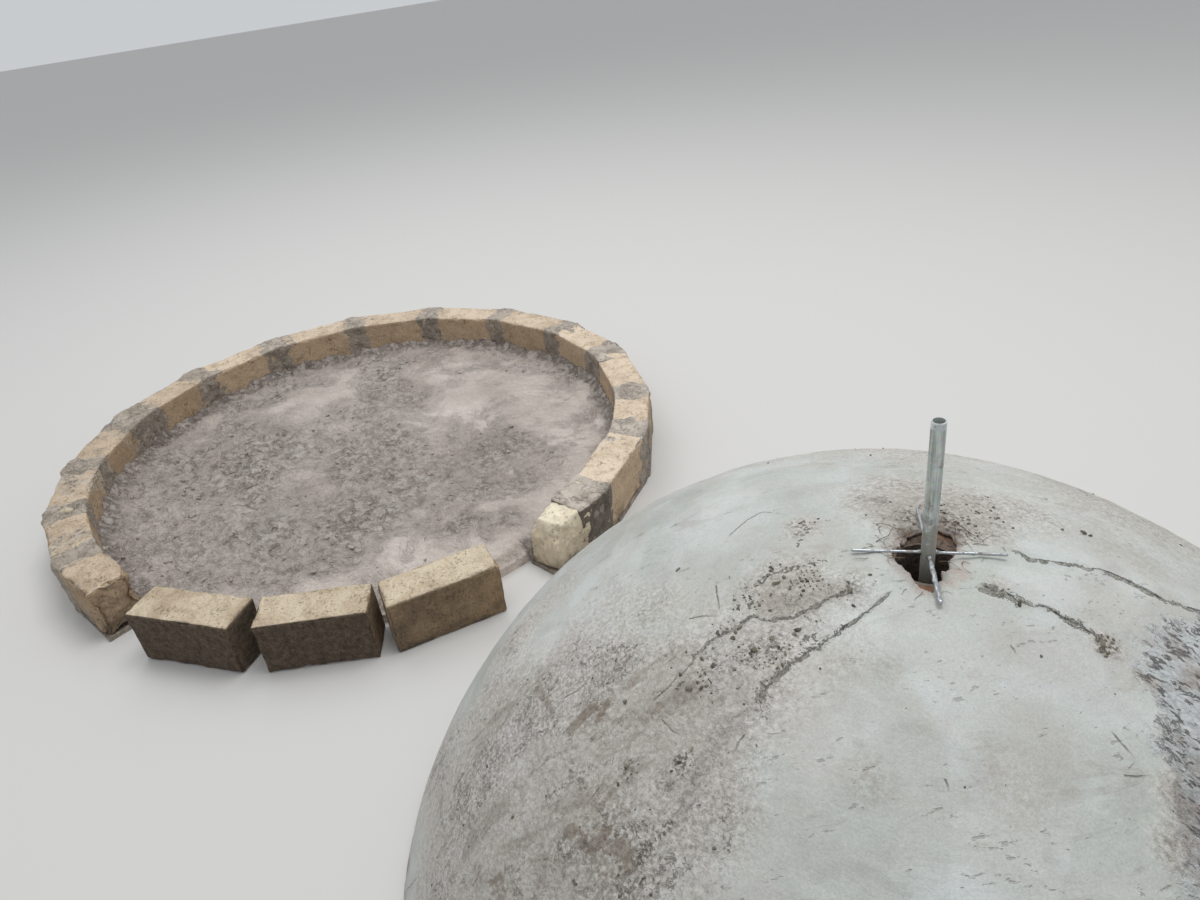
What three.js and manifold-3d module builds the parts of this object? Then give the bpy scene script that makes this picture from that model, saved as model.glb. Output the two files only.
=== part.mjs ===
// Fixed-dome biogas digester, from ground level up: the plastered crown of the masonry dome
// with its gas pipe, and the first course of the round expansion chamber built beside it.
// Millimetres, +Z up. The origin is the middle of the footprint at ground level, and the dome
// stands on the +X side of the chamber. Angles are in degrees, anticlockwise from +X.
import * as THREE from 'three';
import { ConvexGeometry } from 'three/addons/geometries/ConvexGeometry.js';
import { mergeVertices } from 'three/addons/utils/BufferGeometryUtils.js';
import Module from 'manifold-3d';

const wasm = await Module();
wasm.setup();

// Driving dimensions
const SEAT = 0.3; // gap between pieces that touch

const RING_OUTER = 1250; // circle through the outer corners of the chamber stones
const STONE_DEPTH = 150;
const STONE_HEIGHT = 200;
const BED = 15; // mortar bed under the stones
const JOINT_DROP = 4; // the joints end this far below the stone tops
const FLOOR_THICKNESS = 70;
const FLOOR_SIDES = 120;

const DOME_RADIUS = 1264; // outer face of the plaster
const CROWN_HEIGHT = 848;
const DOME_PLACE = [2523, -332]; // the dome's axis seen from the chamber's
const PLASTER = 25;
const MASONRY = 100;
const DOME_SECTORS = 8;
const DOME_SIDES = 64;
const DOME_STEPS = 14; // facets from the foot to the crown hole
const PLASTER_HOLE = 64; // radius of the hole in the plaster
const MASONRY_HOLE = 58;

const PIPE_DIAMETER = 26.9; // 3/4 inch steel tube
const PIPE_WALL = 2.6;
const PIPE_ABOVE = 295; // above and below the anchor rods, along the pipe
const PIPE_BELOW = 110;
const PIPE_LEAN = 3;
const PIPE_LEAN_TOWARDS = 220;
const PIPE_SIDES = 24;
const THREAD_LENGTH = 16;
const THREAD_DEPTH = 0.8;

const ROD_DIAMETER = 6;
const ROD_REACH = 141.5; // from the pipe's axis to the tip
const ROD_SIDES = 12;
const FIRST_ROD = 30; // direction of the first anchor rod, the others follow at right angles
const WELD_LENGTH = 6;
const WELD_RADIUS = 5.4;

// First and last angle of the outer face of each stone. The first one is the broken stone.
const RIGHT_RUN = [[-5.5, 2.8], [7.7, 24.7], [29.7, 41.9], [44.3, 62.3], [66.8, 82.6]];
const LEFT_RUN = [[189.7, 206], [212.7, 227.7], [230.7, 245.5], [247.9, 262.7], [265, 276.7]];
const DRY_RUN = [[-74.3, -56.3], [-52.7, -36], [-33.3, -15.9]];
const BACK_START = 85.2;
const BACK_STONES = 5;
const BACK_PITCH = 20.9;
const BACK_SPAN = 18;

// Worked-out sizes
const RADIANS = Math.PI / 180;
const DOME_CENTRE_Z = CROWN_HEIGHT - DOME_RADIUS;
const FLOOR_RADIUS = RING_OUTER * Math.cos((BACK_SPAN / 2) * RADIANS) - STONE_DEPTH - SEAT;

// Materials, one for each piece
function finish(color, roughness, metalness = 0) {
  return () => new THREE.MeshStandardMaterial({ color, roughness, metalness });
}

const stoneFinish = finish(0xb89a6c, 0.95);
const brokenStoneFinish = finish(0xd8c8a0, 0.95);
const mortarFinish = finish(0x8f8a82, 0.9);
const floorFinish = finish(0x9c8f84, 0.7);
const plasterFinish = finish(0xaeb0a8, 0.75);
const masonryFinish = finish(0xa9714c, 0.95);
const pipeFinish = finish(0x8d9693, 0.4, 0.9);
const rodFinish = finish(0xa7abad, 0.35, 0.9);

// Closed mesh to manifold solid, and back
function toSolid(geometry) {
  const bare = geometry.index ? geometry.toNonIndexed() : geometry.clone();
  bare.deleteAttribute('normal');
  bare.deleteAttribute('uv');
  const merged = mergeVertices(bare, 1e-4);
  return new wasm.Manifold(new wasm.Mesh({
    numProp: 3,
    vertProperties: new Float32Array(merged.attributes.position.array),
    triVerts: new Uint32Array(merged.index.array),
  }));
}

function toGeometry(solid) {
  const mesh = solid.getMesh();
  const geometry = new THREE.BufferGeometry();
  geometry.setAttribute('position', new THREE.BufferAttribute(mesh.vertProperties, 3));
  geometry.setIndex(new THREE.BufferAttribute(mesh.triVerts, 1));
  return geometry;
}

function piece(name, geometry, material) {
  const mesh = new THREE.Mesh(geometry, material());
  mesh.name = name;
  return mesh;
}

// Expansion chamber: stones on a circle, each a box whose outer corners lie on the circle
function stoneOnCircle([first, last]) {
  const middle = ((first + last) / 2) * RADIANS;
  const half = ((last - first) / 2) * RADIANS;
  return { middle, halfLength: RING_OUTER * Math.sin(half), face: RING_OUTER * Math.cos(half) };
}

function onStone(stone, outward, along) {
  const x = outward * Math.cos(stone.middle) - along * Math.sin(stone.middle);
  const y = outward * Math.sin(stone.middle) + along * Math.cos(stone.middle);
  return new THREE.Vector2(x, y);
}

function stoneBox(stone, bottom, growth = 0) {
  const box = new THREE.BoxGeometry(
    STONE_DEPTH + 2 * growth,
    2 * (stone.halfLength + growth),
    STONE_HEIGHT + 2 * growth,
  );
  box.translate(stone.face - STONE_DEPTH / 2, 0, bottom + STONE_HEIGHT / 2);
  box.rotateZ(stone.middle);
  return box;
}

// The broken stone is square where it is bedded and ragged at its free end and top
function brokenStone(stone) {
  const back = stone.face - STONE_DEPTH;
  const long = stone.halfLength;
  const top = BED + STONE_HEIGHT;
  const corners = [
    [stone.face, long, BED], [back, long, BED],
    [stone.face, long, top - 30], [back + 20, long, top],
    [stone.face - 20, long - 30, top], [back, long - 25, top - 10],
    [stone.face, -long + 15, BED], [back + 10, -long, BED],
    [stone.face - 15, -long + 50, top - 12], [back + 25, -long + 35, top - 20],
    [stone.face - 5, -long + 5, BED + 90], [back + 5, -long + 10, BED + 110],
  ];
  const points = corners.map(([outward, along, z]) => {
    const place = onStone(stone, outward, along);
    return new THREE.Vector3(place.x, place.y, z);
  });
  return new ConvexGeometry(points);
}

// Mortar of one run: the bed under its stones and the joints standing between them
function mortarRun(stones, next) {
  const outer = [];
  const inner = [];
  for (const stone of stones) {
    for (const along of [-stone.halfLength, stone.halfLength]) {
      outer.push(onStone(stone, stone.face, along));
      inner.unshift(onStone(stone, stone.face - STONE_DEPTH, along));
    }
  }
  if (next) {
    const along = -next.halfLength - SEAT;
    outer.push(onStone(next, next.face, along));
    inner.unshift(onStone(next, next.face - STONE_DEPTH, along));
  }
  const depth = BED + STONE_HEIGHT - JOINT_DROP;
  const block = new THREE.ExtrudeGeometry(new THREE.Shape([...outer, ...inner]), {
    depth,
    bevelEnabled: false,
  });
  return stones.reduce(
    (solid, stone) => solid.subtract(toSolid(stoneBox(stone, BED, SEAT))),
    toSolid(block),
  );
}

function chamberFloor() {
  const slab = new THREE.CylinderGeometry(FLOOR_RADIUS, FLOOR_RADIUS, FLOOR_THICKNESS, FLOOR_SIDES);
  slab.rotateX(Math.PI / 2);
  slab.translate(0, 0, FLOOR_THICKNESS / 2);
  return slab;
}

function chamber() {
  const group = new THREE.Group();
  const back = [];
  for (let i = 0; i < BACK_STONES; i += 1) {
    const first = BACK_START + i * BACK_PITCH;
    back.push([first, first + BACK_SPAN]);
  }
  const right = RIGHT_RUN.map(stoneOnCircle);
  const behind = back.map(stoneOnCircle);
  const left = LEFT_RUN.map(stoneOnCircle);
  group.add(piece('broken_stone', brokenStone(right[0]), brokenStoneFinish));
  const bedded = [...right.slice(1), ...behind, ...left];
  bedded.forEach((stone, i) => {
    const name = `chamber_stone_${String(i + 1).padStart(2, '0')}`;
    group.add(piece(name, stoneBox(stone, BED), stoneFinish));
  });
  // The dry stones stand on the ground, pushed up to the edge of the floor
  DRY_RUN.forEach((span, i) => {
    const stone = stoneOnCircle(span);
    stone.face = FLOOR_RADIUS + SEAT + STONE_DEPTH;
    group.add(piece(`dry_stone_${i + 1}`, stoneBox(stone, 0), stoneFinish));
  });
  const runs = [
    ['mortar_right', right, behind[0]],
    ['mortar_back', behind, left[0]],
    ['mortar_left', left, null],
  ];
  for (const [name, stones, next] of runs) {
    group.add(piece(name, toGeometry(mortarRun(stones, next)), mortarFinish));
  }
  group.add(piece('chamber_floor', chamberFloor(), floorFinish));
  return group;
}

// Dome: a shell of constant thickness about one centre, cut off level at the ground
function shellArc(radius, hole) {
  const lowest = Math.asin(-DOME_CENTRE_Z / radius);
  const highest = Math.acos(hole / radius);
  const points = [];
  for (let i = 0; i <= DOME_STEPS; i += 1) {
    const angle = lowest + ((highest - lowest) * i) / DOME_STEPS;
    points.push([radius * Math.cos(angle), DOME_CENTRE_Z + radius * Math.sin(angle)]);
  }
  points[0][1] = 0;
  return points;
}

function domeShell(outerRadius, thickness, hole) {
  const outline = [...shellArc(outerRadius, hole), ...shellArc(outerRadius - thickness, hole).reverse()];
  outline.push(outline[0]);
  const shell = new THREE.LatheGeometry(outline.map(([r, z]) => new THREE.Vector2(r, z)), DOME_SIDES);
  shell.rotateX(Math.PI / 2);
  return toSolid(shell);
}

function sectorPrism(index) {
  const half = Math.PI / DOME_SECTORS;
  const middle = (2 * index + 1) * half;
  const inset = SEAT / 2 / Math.sin(half);
  const apex = new THREE.Vector2(inset * Math.cos(middle), inset * Math.sin(middle));
  const far = [-half, 0, half].map((turn) => new THREE.Vector2(
    apex.x + 2 * DOME_RADIUS * Math.cos(middle + turn),
    apex.y + 2 * DOME_RADIUS * Math.sin(middle + turn),
  ));
  const prism = new THREE.ExtrudeGeometry(new THREE.Shape([apex, ...far]), {
    depth: 2 * DOME_RADIUS,
    bevelEnabled: false,
  });
  prism.translate(0, 0, -DOME_RADIUS);
  return toSolid(prism);
}

function domeRim() {
  return DOME_CENTRE_Z + Math.sqrt(DOME_RADIUS ** 2 - PLASTER_HOLE ** 2);
}

// Gas pipe: a tube with its thread at the top, hung in the crown hole by four anchor rods
const pipeRadius = PIPE_DIAMETER / 2;
const leanAxis = new THREE.Vector3(
  -Math.sin(PIPE_LEAN_TOWARDS * RADIANS),
  Math.cos(PIPE_LEAN_TOWARDS * RADIANS),
  0,
);
const lean = new THREE.Matrix4().makeRotationAxis(leanAxis, PIPE_LEAN * RADIANS);

function gasPipe() {
  const bore = pipeRadius - PIPE_WALL;
  const land = pipeRadius - THREAD_DEPTH;
  const outline = [
    [bore, -PIPE_BELOW], [pipeRadius, -PIPE_BELOW],
    [pipeRadius, PIPE_ABOVE - THREAD_LENGTH], [land, PIPE_ABOVE - THREAD_LENGTH],
    [land, PIPE_ABOVE], [bore, PIPE_ABOVE], [bore, -PIPE_BELOW],
  ];
  const tube = new THREE.LatheGeometry(outline.map(([r, z]) => new THREE.Vector2(r, z)), PIPE_SIDES);
  tube.rotateX(Math.PI / 2);
  tube.applyMatrix4(lean);
  return tube;
}

// A rod with its weld, its end cut to the round of the pipe
function anchorRod(direction) {
  const length = ROD_REACH - pipeRadius / 2;
  const rod = new THREE.CylinderGeometry(ROD_DIAMETER / 2, ROD_DIAMETER / 2, length, ROD_SIDES);
  rod.translate(0, -length / 2 - pipeRadius / 2, 0);
  const weldEnd = pipeRadius + WELD_LENGTH;
  const weldStart = pipeRadius / 2;
  const weldSlope = (weldEnd - weldStart) / WELD_LENGTH;
  const wide = ROD_DIAMETER / 2 + (WELD_RADIUS - ROD_DIAMETER / 2) * weldSlope;
  const weld = new THREE.CylinderGeometry(wide, ROD_DIAMETER / 2, weldEnd - weldStart, ROD_SIDES);
  weld.translate(0, -(weldStart + weldEnd) / 2, 0);
  const around = new THREE.CylinderGeometry(
    pipeRadius + SEAT,
    pipeRadius + SEAT,
    PIPE_BELOW + PIPE_ABOVE,
    PIPE_SIDES,
  );
  around.rotateX(Math.PI / 2);
  around.applyMatrix4(lean);
  for (const part of [rod, weld]) {
    part.rotateZ(Math.PI / 2 + direction * RADIANS);
  }
  return toSolid(rod).add(toSolid(weld)).subtract(toSolid(around));
}

function dome() {
  const group = new THREE.Group();
  group.add(piece(
    'plaster_coat',
    toGeometry(domeShell(DOME_RADIUS, PLASTER, PLASTER_HOLE)),
    plasterFinish,
  ));
  const masonry = domeShell(DOME_RADIUS - PLASTER - SEAT, MASONRY, MASONRY_HOLE);
  for (let i = 0; i < DOME_SECTORS; i += 1) {
    group.add(piece(
      `dome_masonry_${i + 1}`,
      toGeometry(masonry.intersect(sectorPrism(i))),
      masonryFinish,
    ));
  }
  const fitting = new THREE.Group();
  fitting.position.z = domeRim() + ROD_DIAMETER / 2 + SEAT;
  fitting.add(piece('gas_pipe', gasPipe(), pipeFinish));
  for (let i = 0; i < 4; i += 1) {
    fitting.add(piece(`anchor_rod_${i + 1}`, toGeometry(anchorRod(FIRST_ROD + 90 * i)), rodFinish));
  }
  group.add(fitting);
  return group;
}

const plant = new THREE.Group();
const domeGroup = dome();
domeGroup.position.set(...DOME_PLACE, 0);
plant.add(chamber(), domeGroup);
plant.updateMatrixWorld(true);
const middle = new THREE.Box3().setFromObject(plant, true).getCenter(new THREE.Vector3());
plant.position.set(-middle.x, -middle.y, 0);

export default plant;
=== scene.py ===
# Fixed-dome biogas digester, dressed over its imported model: hewn stones on their mortar, the
# floor of the chamber, the trowelled plaster of the dome, and the gas pipe with its rods.
# Metres, +Z up, +X from the chamber towards the dome, angles in degrees anticlockwise from +X.
import math

import bpy
import numpy as np
from mathutils import Matrix, Vector


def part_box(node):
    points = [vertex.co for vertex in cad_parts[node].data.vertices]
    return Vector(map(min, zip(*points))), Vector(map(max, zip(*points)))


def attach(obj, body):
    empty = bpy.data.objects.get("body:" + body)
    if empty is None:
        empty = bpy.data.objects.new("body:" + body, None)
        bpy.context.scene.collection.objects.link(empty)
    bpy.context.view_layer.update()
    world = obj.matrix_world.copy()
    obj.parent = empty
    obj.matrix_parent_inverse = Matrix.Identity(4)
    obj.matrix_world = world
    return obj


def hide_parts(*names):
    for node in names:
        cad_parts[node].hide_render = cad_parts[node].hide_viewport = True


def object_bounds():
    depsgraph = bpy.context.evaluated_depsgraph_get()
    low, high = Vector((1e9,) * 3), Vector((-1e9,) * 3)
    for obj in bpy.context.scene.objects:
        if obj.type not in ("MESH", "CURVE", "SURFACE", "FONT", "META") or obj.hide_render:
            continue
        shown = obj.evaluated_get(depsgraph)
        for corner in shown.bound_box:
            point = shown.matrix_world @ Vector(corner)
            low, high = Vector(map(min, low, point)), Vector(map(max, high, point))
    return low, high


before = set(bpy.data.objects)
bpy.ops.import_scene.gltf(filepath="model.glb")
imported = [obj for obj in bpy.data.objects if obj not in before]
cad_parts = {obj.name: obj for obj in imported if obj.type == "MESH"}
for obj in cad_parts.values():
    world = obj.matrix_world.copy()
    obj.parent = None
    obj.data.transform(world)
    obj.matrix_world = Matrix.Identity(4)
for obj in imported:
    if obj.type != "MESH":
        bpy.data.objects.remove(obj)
cad_low, cad_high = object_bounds()

# Places and sizes of the model
floor_low, floor_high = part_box("chamber_floor")
coat_low, coat_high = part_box("plaster_coat")
stone_low, stone_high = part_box("chamber_stone_04")
dry_low, dry_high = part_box("dry_stone_1")
RING_CENTRE = np.array([(floor_low.x + floor_high.x) / 2, (floor_low.y + floor_high.y) / 2, 0.0])
FLOOR_RADIUS = (floor_high.x - floor_low.x) / 2
FLOOR_TOP = floor_high.z
RING_OUTER, STONE_DEPTH = 1.25, 0.15
STONE_BOTTOM, STONE_TOP = stone_low.z, stone_high.z
DOME_RADIUS, HOLE_RADIUS, PLASTER = 1.264, 0.064, 0.025
DOME_CENTRE = np.array([
    (coat_low.x + coat_high.x) / 2,
    (coat_low.y + coat_high.y) / 2,
    coat_high.z - math.sqrt(DOME_RADIUS**2 - HOLE_RADIUS**2),
])
FOOT_POLAR = math.acos(-DOME_CENTRE[2] / DOME_RADIUS)
INNER_FOOT_POLAR = math.acos(-DOME_CENTRE[2] / (DOME_RADIUS - PLASTER))

# First and last angle of each stone of the ring, in order, and of the three dry ones
RIGHT_RUN = [(-5.5, 2.8), (7.7, 24.7), (29.7, 41.9), (44.3, 62.3), (66.8, 82.6)]
BACK_RUN = [(85.2 + 20.9 * i, 103.2 + 20.9 * i) for i in range(5)]
LEFT_RUN = [(189.7, 206), (212.7, 227.7), (230.7, 245.5), (247.9, 262.7), (265, 276.7)]
DRY_RUN = [(-74.3, -56.3), (-52.7, -36), (-33.3, -15.9)]
RING = RIGHT_RUN + BACK_RUN + LEFT_RUN

PIPE_RADIUS, PIPE_BORE = 0.01345, 0.01085
PIPE_ABOVE, PIPE_BELOW = 0.295, 0.11
PIPE_LEAN, PIPE_LEAN_TOWARDS = math.radians(3), math.radians(220)
THREAD_LENGTH, THREAD_PITCH, THREAD_DEPTH = 0.016, 0.001814, 0.001
ROD_HEIGHT = (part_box("anchor_rod_1")[0].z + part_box("anchor_rod_1")[1].z) / 2
ROD_RADIUS, ROD_ROOT, ROD_REACH, FIRST_ROD = 0.003, 0.0122, 0.1415, math.radians(30)
CRUSTED_ROD, CRUST = 3, 0.0021

# Camera: where it stands from the dome's axis, and how it looks
CAMERA_STAND = (0.3787, -1.2857, 1.9121)
CAMERA_YAW, CAMERA_PITCH, CAMERA_ROLL = map(math.radians, (133.16, 32.085, -6.342))
FOCAL_PIXELS, PHOTO_WIDTH, PHOTO_HEIGHT = 823.8, 1200, 900


def camera_axes():
    """Unit vectors of the camera: its right and up, turned by the roll, and the way it looks."""
    cos_pitch, sin_pitch = math.cos(CAMERA_PITCH), math.sin(CAMERA_PITCH)
    cos_yaw, sin_yaw = math.cos(CAMERA_YAW), math.sin(CAMERA_YAW)
    ahead = np.array([cos_pitch * cos_yaw, cos_pitch * sin_yaw, -sin_pitch])
    level = np.array([sin_yaw, -cos_yaw, 0.0])
    upright = np.cross(level, ahead)
    right = math.cos(CAMERA_ROLL) * level + math.sin(CAMERA_ROLL) * upright
    up = -math.sin(CAMERA_ROLL) * level + math.cos(CAMERA_ROLL) * upright
    return right, up, ahead


CAMERA_PLACE = DOME_CENTRE * (1, 1, 0) + CAMERA_STAND


def stand_camera():
    """The photograph's camera: a wide lens with no shift."""
    right, up, ahead = camera_axes()
    data = bpy.data.cameras.new("camera")
    data.sensor_width = 36
    data.lens = 36 * FOCAL_PIXELS / PHOTO_WIDTH
    camera = bpy.data.objects.new("camera", data)
    columns = np.eye(4)
    columns[:3, 0], columns[:3, 1], columns[:3, 2], columns[:3, 3] = right, up, -ahead, CAMERA_PLACE
    camera.matrix_world = Matrix(columns.tolist())
    bpy.context.scene.collection.objects.link(camera)
    bpy.context.scene.camera = camera


stand_camera()


# Numbers: noise, and places on the dome
def hashed(cells, seed):
    """A fixed number from 0 to 1 for each whole-number place: products and shifts that mix it."""
    x, y, z = (cells[..., i].astype(np.uint32) for i in range(3))
    mixed = x * np.uint32(0x8DA6B343) + y * np.uint32(0xD8163841) + z * np.uint32(0xCB1AB31F)
    mixed = mixed + np.uint32((seed * 0x9E3779B1) & 0xFFFFFFFF)
    mixed = (mixed ^ (mixed >> np.uint32(15))) * np.uint32(0x2C1B3C6D)
    mixed = (mixed ^ (mixed >> np.uint32(12))) * np.uint32(0x297A2D39)
    return ((mixed ^ (mixed >> np.uint32(15))) >> np.uint32(8)) / float(0xFFFFFF)


def noise(points, size, seed=0):
    """Smooth noise from -1 to 1: the hashed numbers at a cell's eight corners, blended smoothly."""
    scaled = points / size
    cell = np.floor(scaled).astype(np.int64)
    part = scaled - cell
    part = part**3 * (part * (6 * part - 15) + 10)
    total = np.zeros(len(points))
    for corner in np.ndindex(2, 2, 2):
        share = np.prod(np.where(corner, part, 1 - part), axis=1)
        total += share * hashed(cell + np.array(corner), seed)
    return 2 * total - 1


def layered(points, size, seed=0, layers=4):
    """Noise in layers, each half the size and a little over half the strength of the last."""
    total, strength, whole = np.zeros(len(points)), 1.0, 0.0
    for layer in range(layers):
        total += strength * noise(points, size / 2**layer, seed + layer)
        whole += strength
        strength *= 0.55
    return 1.6 * total / whole


def smooth(value, low, high):
    """0 below low, 1 above high, and an even S between."""
    part = np.clip((value - low) / (high - low), 0, 1)
    return part * part * (3 - 2 * part)


def falls(value, low, high):
    """1 below low, 0 above high, and an even S between."""
    return 1 - smooth(value, low, high)


def turned(angle, reach, height=0.0):
    """Places at an angle about an upright axis, this far out from it and this high."""
    angle, reach, height = np.broadcast_arrays(angle, reach, height)
    return np.stack([reach * np.cos(angle), reach * np.sin(angle), height], -1)


def circle(count):
    """Angles evenly spaced round a full turn."""
    return np.linspace(0, 2 * np.pi, count, endpoint=False)


def unit(vectors):
    """Vectors at length 1."""
    return vectors / np.linalg.norm(vectors, axis=-1, keepdims=True)


def on_dome(pixels):
    """Where the camera's rays through these pixels of the photograph meet the dome's sphere."""
    right, up, ahead = camera_axes()
    pixels = np.asarray(pixels, float)
    across = (pixels[:, :1] - PHOTO_WIDTH / 2) / FOCAL_PIXELS
    above = (PHOTO_HEIGHT / 2 - pixels[:, 1:2]) / FOCAL_PIXELS
    ray = unit(ahead + across * right + above * up)
    from_centre = CAMERA_PLACE - DOME_CENTRE
    along = ray @ from_centre
    inside = along**2 - from_centre @ from_centre + DOME_RADIUS**2
    reach = -along - np.sqrt(np.maximum(inside, 0))
    return CAMERA_PLACE + reach[:, None] * ray


def way_on_dome(start, end):
    """The way in space from one pixel to another, both on the dome."""
    first, last = on_dome([start, end])
    return unit((last - first)[None])[0]


# A distance in metres beyond any on the dome
FURTHEST = 9.0


def beside_line(points, line):
    """For points on the dome and a line drawn on it: the distance, positive on the left of the
    line's way, and how far along the line the nearest place is, from 0 to 1."""
    nearest, signed = np.full((2, len(points)), FURTHEST)
    along = np.zeros(len(points))
    lengths = np.linalg.norm(np.diff(line, axis=0), axis=1)
    starts = np.concatenate([[0], np.cumsum(lengths)])
    outward = unit(points - DOME_CENTRE)
    for start, end, length, before in zip(line[:-1], line[1:], lengths, starts):
        way = (end - start) / length
        part = np.clip((points - start) @ way, 0, length)
        offset = points - start - part[:, None] * way
        distance = np.linalg.norm(offset, axis=1)
        side = np.sign(np.einsum("ij,ij->i", np.cross(way, offset), outward))
        closer = distance < nearest
        nearest = np.where(closer, distance, nearest)
        signed = np.where(closer, side * distance, signed)
        along = np.where(closer, (before + part) / starts[-1], along)
    return signed, along


def near_places(points, places):
    """Softly 1 at each place on the dome, given as pixels and a reach in metres, and 0 beyond."""
    total = np.zeros(len(points))
    centres = on_dome([place[:2] for place in places])
    for centre, (_, _, reach, strength) in zip(centres, places):
        distance = np.linalg.norm(points - centre, axis=1)
        total = total + (1 - total) * strength * falls(distance, 0.2 * reach, reach)
    return total


# Meshes
def make_piece(name, points, faces, finish, replaces=(), marks=None, sharp=None):
    """A piece from points and faces, turned faces out, kept in the model's box, and riding on
    the one body. Marks are numbers on its points, or one for all, that its finish reads."""
    blocks = faces if isinstance(faces, list) else [faces]
    faces = [np.asarray(block, np.int64) for block in blocks]
    volume = 0.0
    for block in faces:
        for corner in range(2, block.shape[1]):
            a, b, c = points[block[:, 0]], points[block[:, corner - 1]], points[block[:, corner]]
            volume += np.einsum("ij,ij->", a, np.cross(b, c))
    if volume < 0:
        faces = [block[:, ::-1] for block in faces]
    points = np.clip(points, np.array(cad_low), np.array(cad_high))
    mesh = bpy.data.meshes.new(name)
    mesh.vertices.add(len(points))
    mesh.vertices.foreach_set("co", points.astype(np.float32).ravel())
    sizes = np.concatenate([np.full(len(block), block.shape[1]) for block in faces])
    mesh.loops.add(int(sizes.sum()))
    corners = np.concatenate([block.ravel() for block in faces])
    mesh.loops.foreach_set("vertex_index", corners.astype(np.int32))
    mesh.polygons.add(len(sizes))
    starts = np.concatenate([[0], np.cumsum(sizes)[:-1]])
    mesh.polygons.foreach_set("loop_start", starts.astype(np.int32))
    mesh.polygons.foreach_set("use_smooth", np.ones(len(sizes), bool))
    mesh.update(calc_edges=True)
    for mark, values in (marks or {}).items():
        values = values if np.ndim(values) else np.full(len(points), values)
        kind, field = ("FLOAT_VECTOR", "vector") if values.ndim == 2 else ("FLOAT", "value")
        layer = mesh.attributes.new(mark, kind, "POINT")
        layer.data.foreach_set(field, values.astype(np.float32).ravel())
    if sharp:
        mesh.set_sharp_from_angle(angle=math.radians(sharp))
    mesh.materials.append(finish)
    piece = bpy.data.objects.new(name, mesh)
    bpy.context.scene.collection.objects.link(piece)
    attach(piece, "root")
    if replaces:
        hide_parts(*replaces)
    return piece


def grid_faces(rows, columns, around=True, closed=False):
    """Quads of a grid of points that run row by row; its columns may join up, and its rows."""
    row = np.arange(rows if closed else rows - 1)
    column = np.arange(columns if around else columns - 1)
    r, c = np.meshgrid(row, column, indexing="ij")
    below, beside = (r + 1) % rows, (c + 1) % columns
    first, last = r * columns, below * columns
    return np.stack([first + c, first + beside, last + beside, last + c], -1).reshape(-1, 4)


def end_caps(rows, columns):
    """The two end rings of a tube of rings, each closed by one face."""
    last = (rows - 1) * columns
    return [np.arange(columns)[None, ::-1], last + np.arange(columns)[None]]


QUAD_STEPS = ((0, 0), (0, 1), (1, 1), (1, 0))


def block_lattice(counts):
    """The places on a block's six faces, from 0 to 1 each way, and the quads between them."""
    quads = []
    for axis in range(3):
        across, up = (axis + 1) % 3, (axis + 2) % 3
        a, b = np.meshgrid(np.arange(counts[across]), np.arange(counts[up]), indexing="ij")
        for side, steps in ((0, QUAD_STEPS), (counts[axis], (QUAD_STEPS[0], *QUAD_STEPS[:0:-1]))):
            corners = np.zeros((*a.shape, 4, 3), int)
            for number, (step_a, step_b) in enumerate(steps):
                corners[..., number, axis] = side
                corners[..., number, across] = a + step_a
                corners[..., number, up] = b + step_b
            quads.append(corners.reshape(-1, 4, 3))
    places, faces = np.unique(np.concatenate(quads).reshape(-1, 3), axis=0, return_inverse=True)
    return places / counts, faces.reshape(-1, 4)


def worn_block(half, cell, rounding, seed):
    """A block with worn arrises: each lattice place is drawn in to a block rounded by a radius
    that wanders by noise. Gives its points, their outward ways, and its faces."""
    places, faces = block_lattice(np.maximum(np.round(2 * half / cell).astype(int), 2))
    flat = (2 * places - 1) * half
    radius = rounding * (1 + 0.7 * noise(flat + seed, 0.05, seed))[:, None]
    core = np.clip(flat, -half + radius, half - radius)
    way = unit(flat - core)
    return core + way * radius, way, faces


# Finishes
class Value:
    """A number, place or colour that a node gives. Arithmetic with it makes further nodes."""

    def __init__(self, socket):
        self.socket = socket

    def __add__(self, other):
        return maths("ADD", self, other)

    def __sub__(self, other):
        return maths("SUBTRACT", self, other)

    def __rsub__(self, other):
        return maths("SUBTRACT", other, self)

    def __mul__(self, other):
        return maths("MULTIPLY", self, other)

    def __abs__(self):
        return maths("ABSOLUTE", self)


def srgb(red, green, blue):
    """The shader's colour for one that the eye names from 0 to 255."""
    part = np.array([red, green, blue]) / 255
    linear = np.where(part <= 0.04045, part / 12.92, ((part + 0.055) / 1.055) ** 2.4)
    return (*linear.tolist(), 1.0)


def node(kind, inputs, **settings):
    """The values that a new node gives. It stands beside the values that it is linked to, and
    its other inputs are numbers, or colours in the eye's three numbers."""
    tree = next(value.socket.id_data for value in inputs.values() if isinstance(value, Value))
    made = tree.nodes.new(kind)
    for key, value in settings.items():
        setattr(made, key, value)
    for key, value in inputs.items():
        socket = made.inputs[key]
        if isinstance(value, Value):
            tree.links.new(value.socket, socket)
        elif socket.type == "RGBA" and len(value) == 3:
            socket.default_value = srgb(*value)
        else:
            socket.default_value = value
    return [Value(output) for output in made.outputs]


def maths(operation, *values):
    """One step of arithmetic."""
    return node("ShaderNodeMath", dict(enumerate(values)), operation=operation)[0]


def larger(first, second):
    """The larger of two numbers."""
    return maths("MAXIMUM", first, second)


def smaller(first, second):
    """The smaller of two numbers."""
    return maths("MINIMUM", first, second)


def between(share, first, last):
    """The number that is a share of the way from the first to the last."""
    return share * (last - first) + first


def rises(value, low, high, start=0.0, end=1.0):
    """A smooth rise from start to end as the value goes from low to high."""
    inputs = {"Value": value, "From Min": low, "From Max": high, "To Min": start, "To Max": end}
    return node("ShaderNodeMapRange", inputs, interpolation_type="SMOOTHSTEP")[0]


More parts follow.
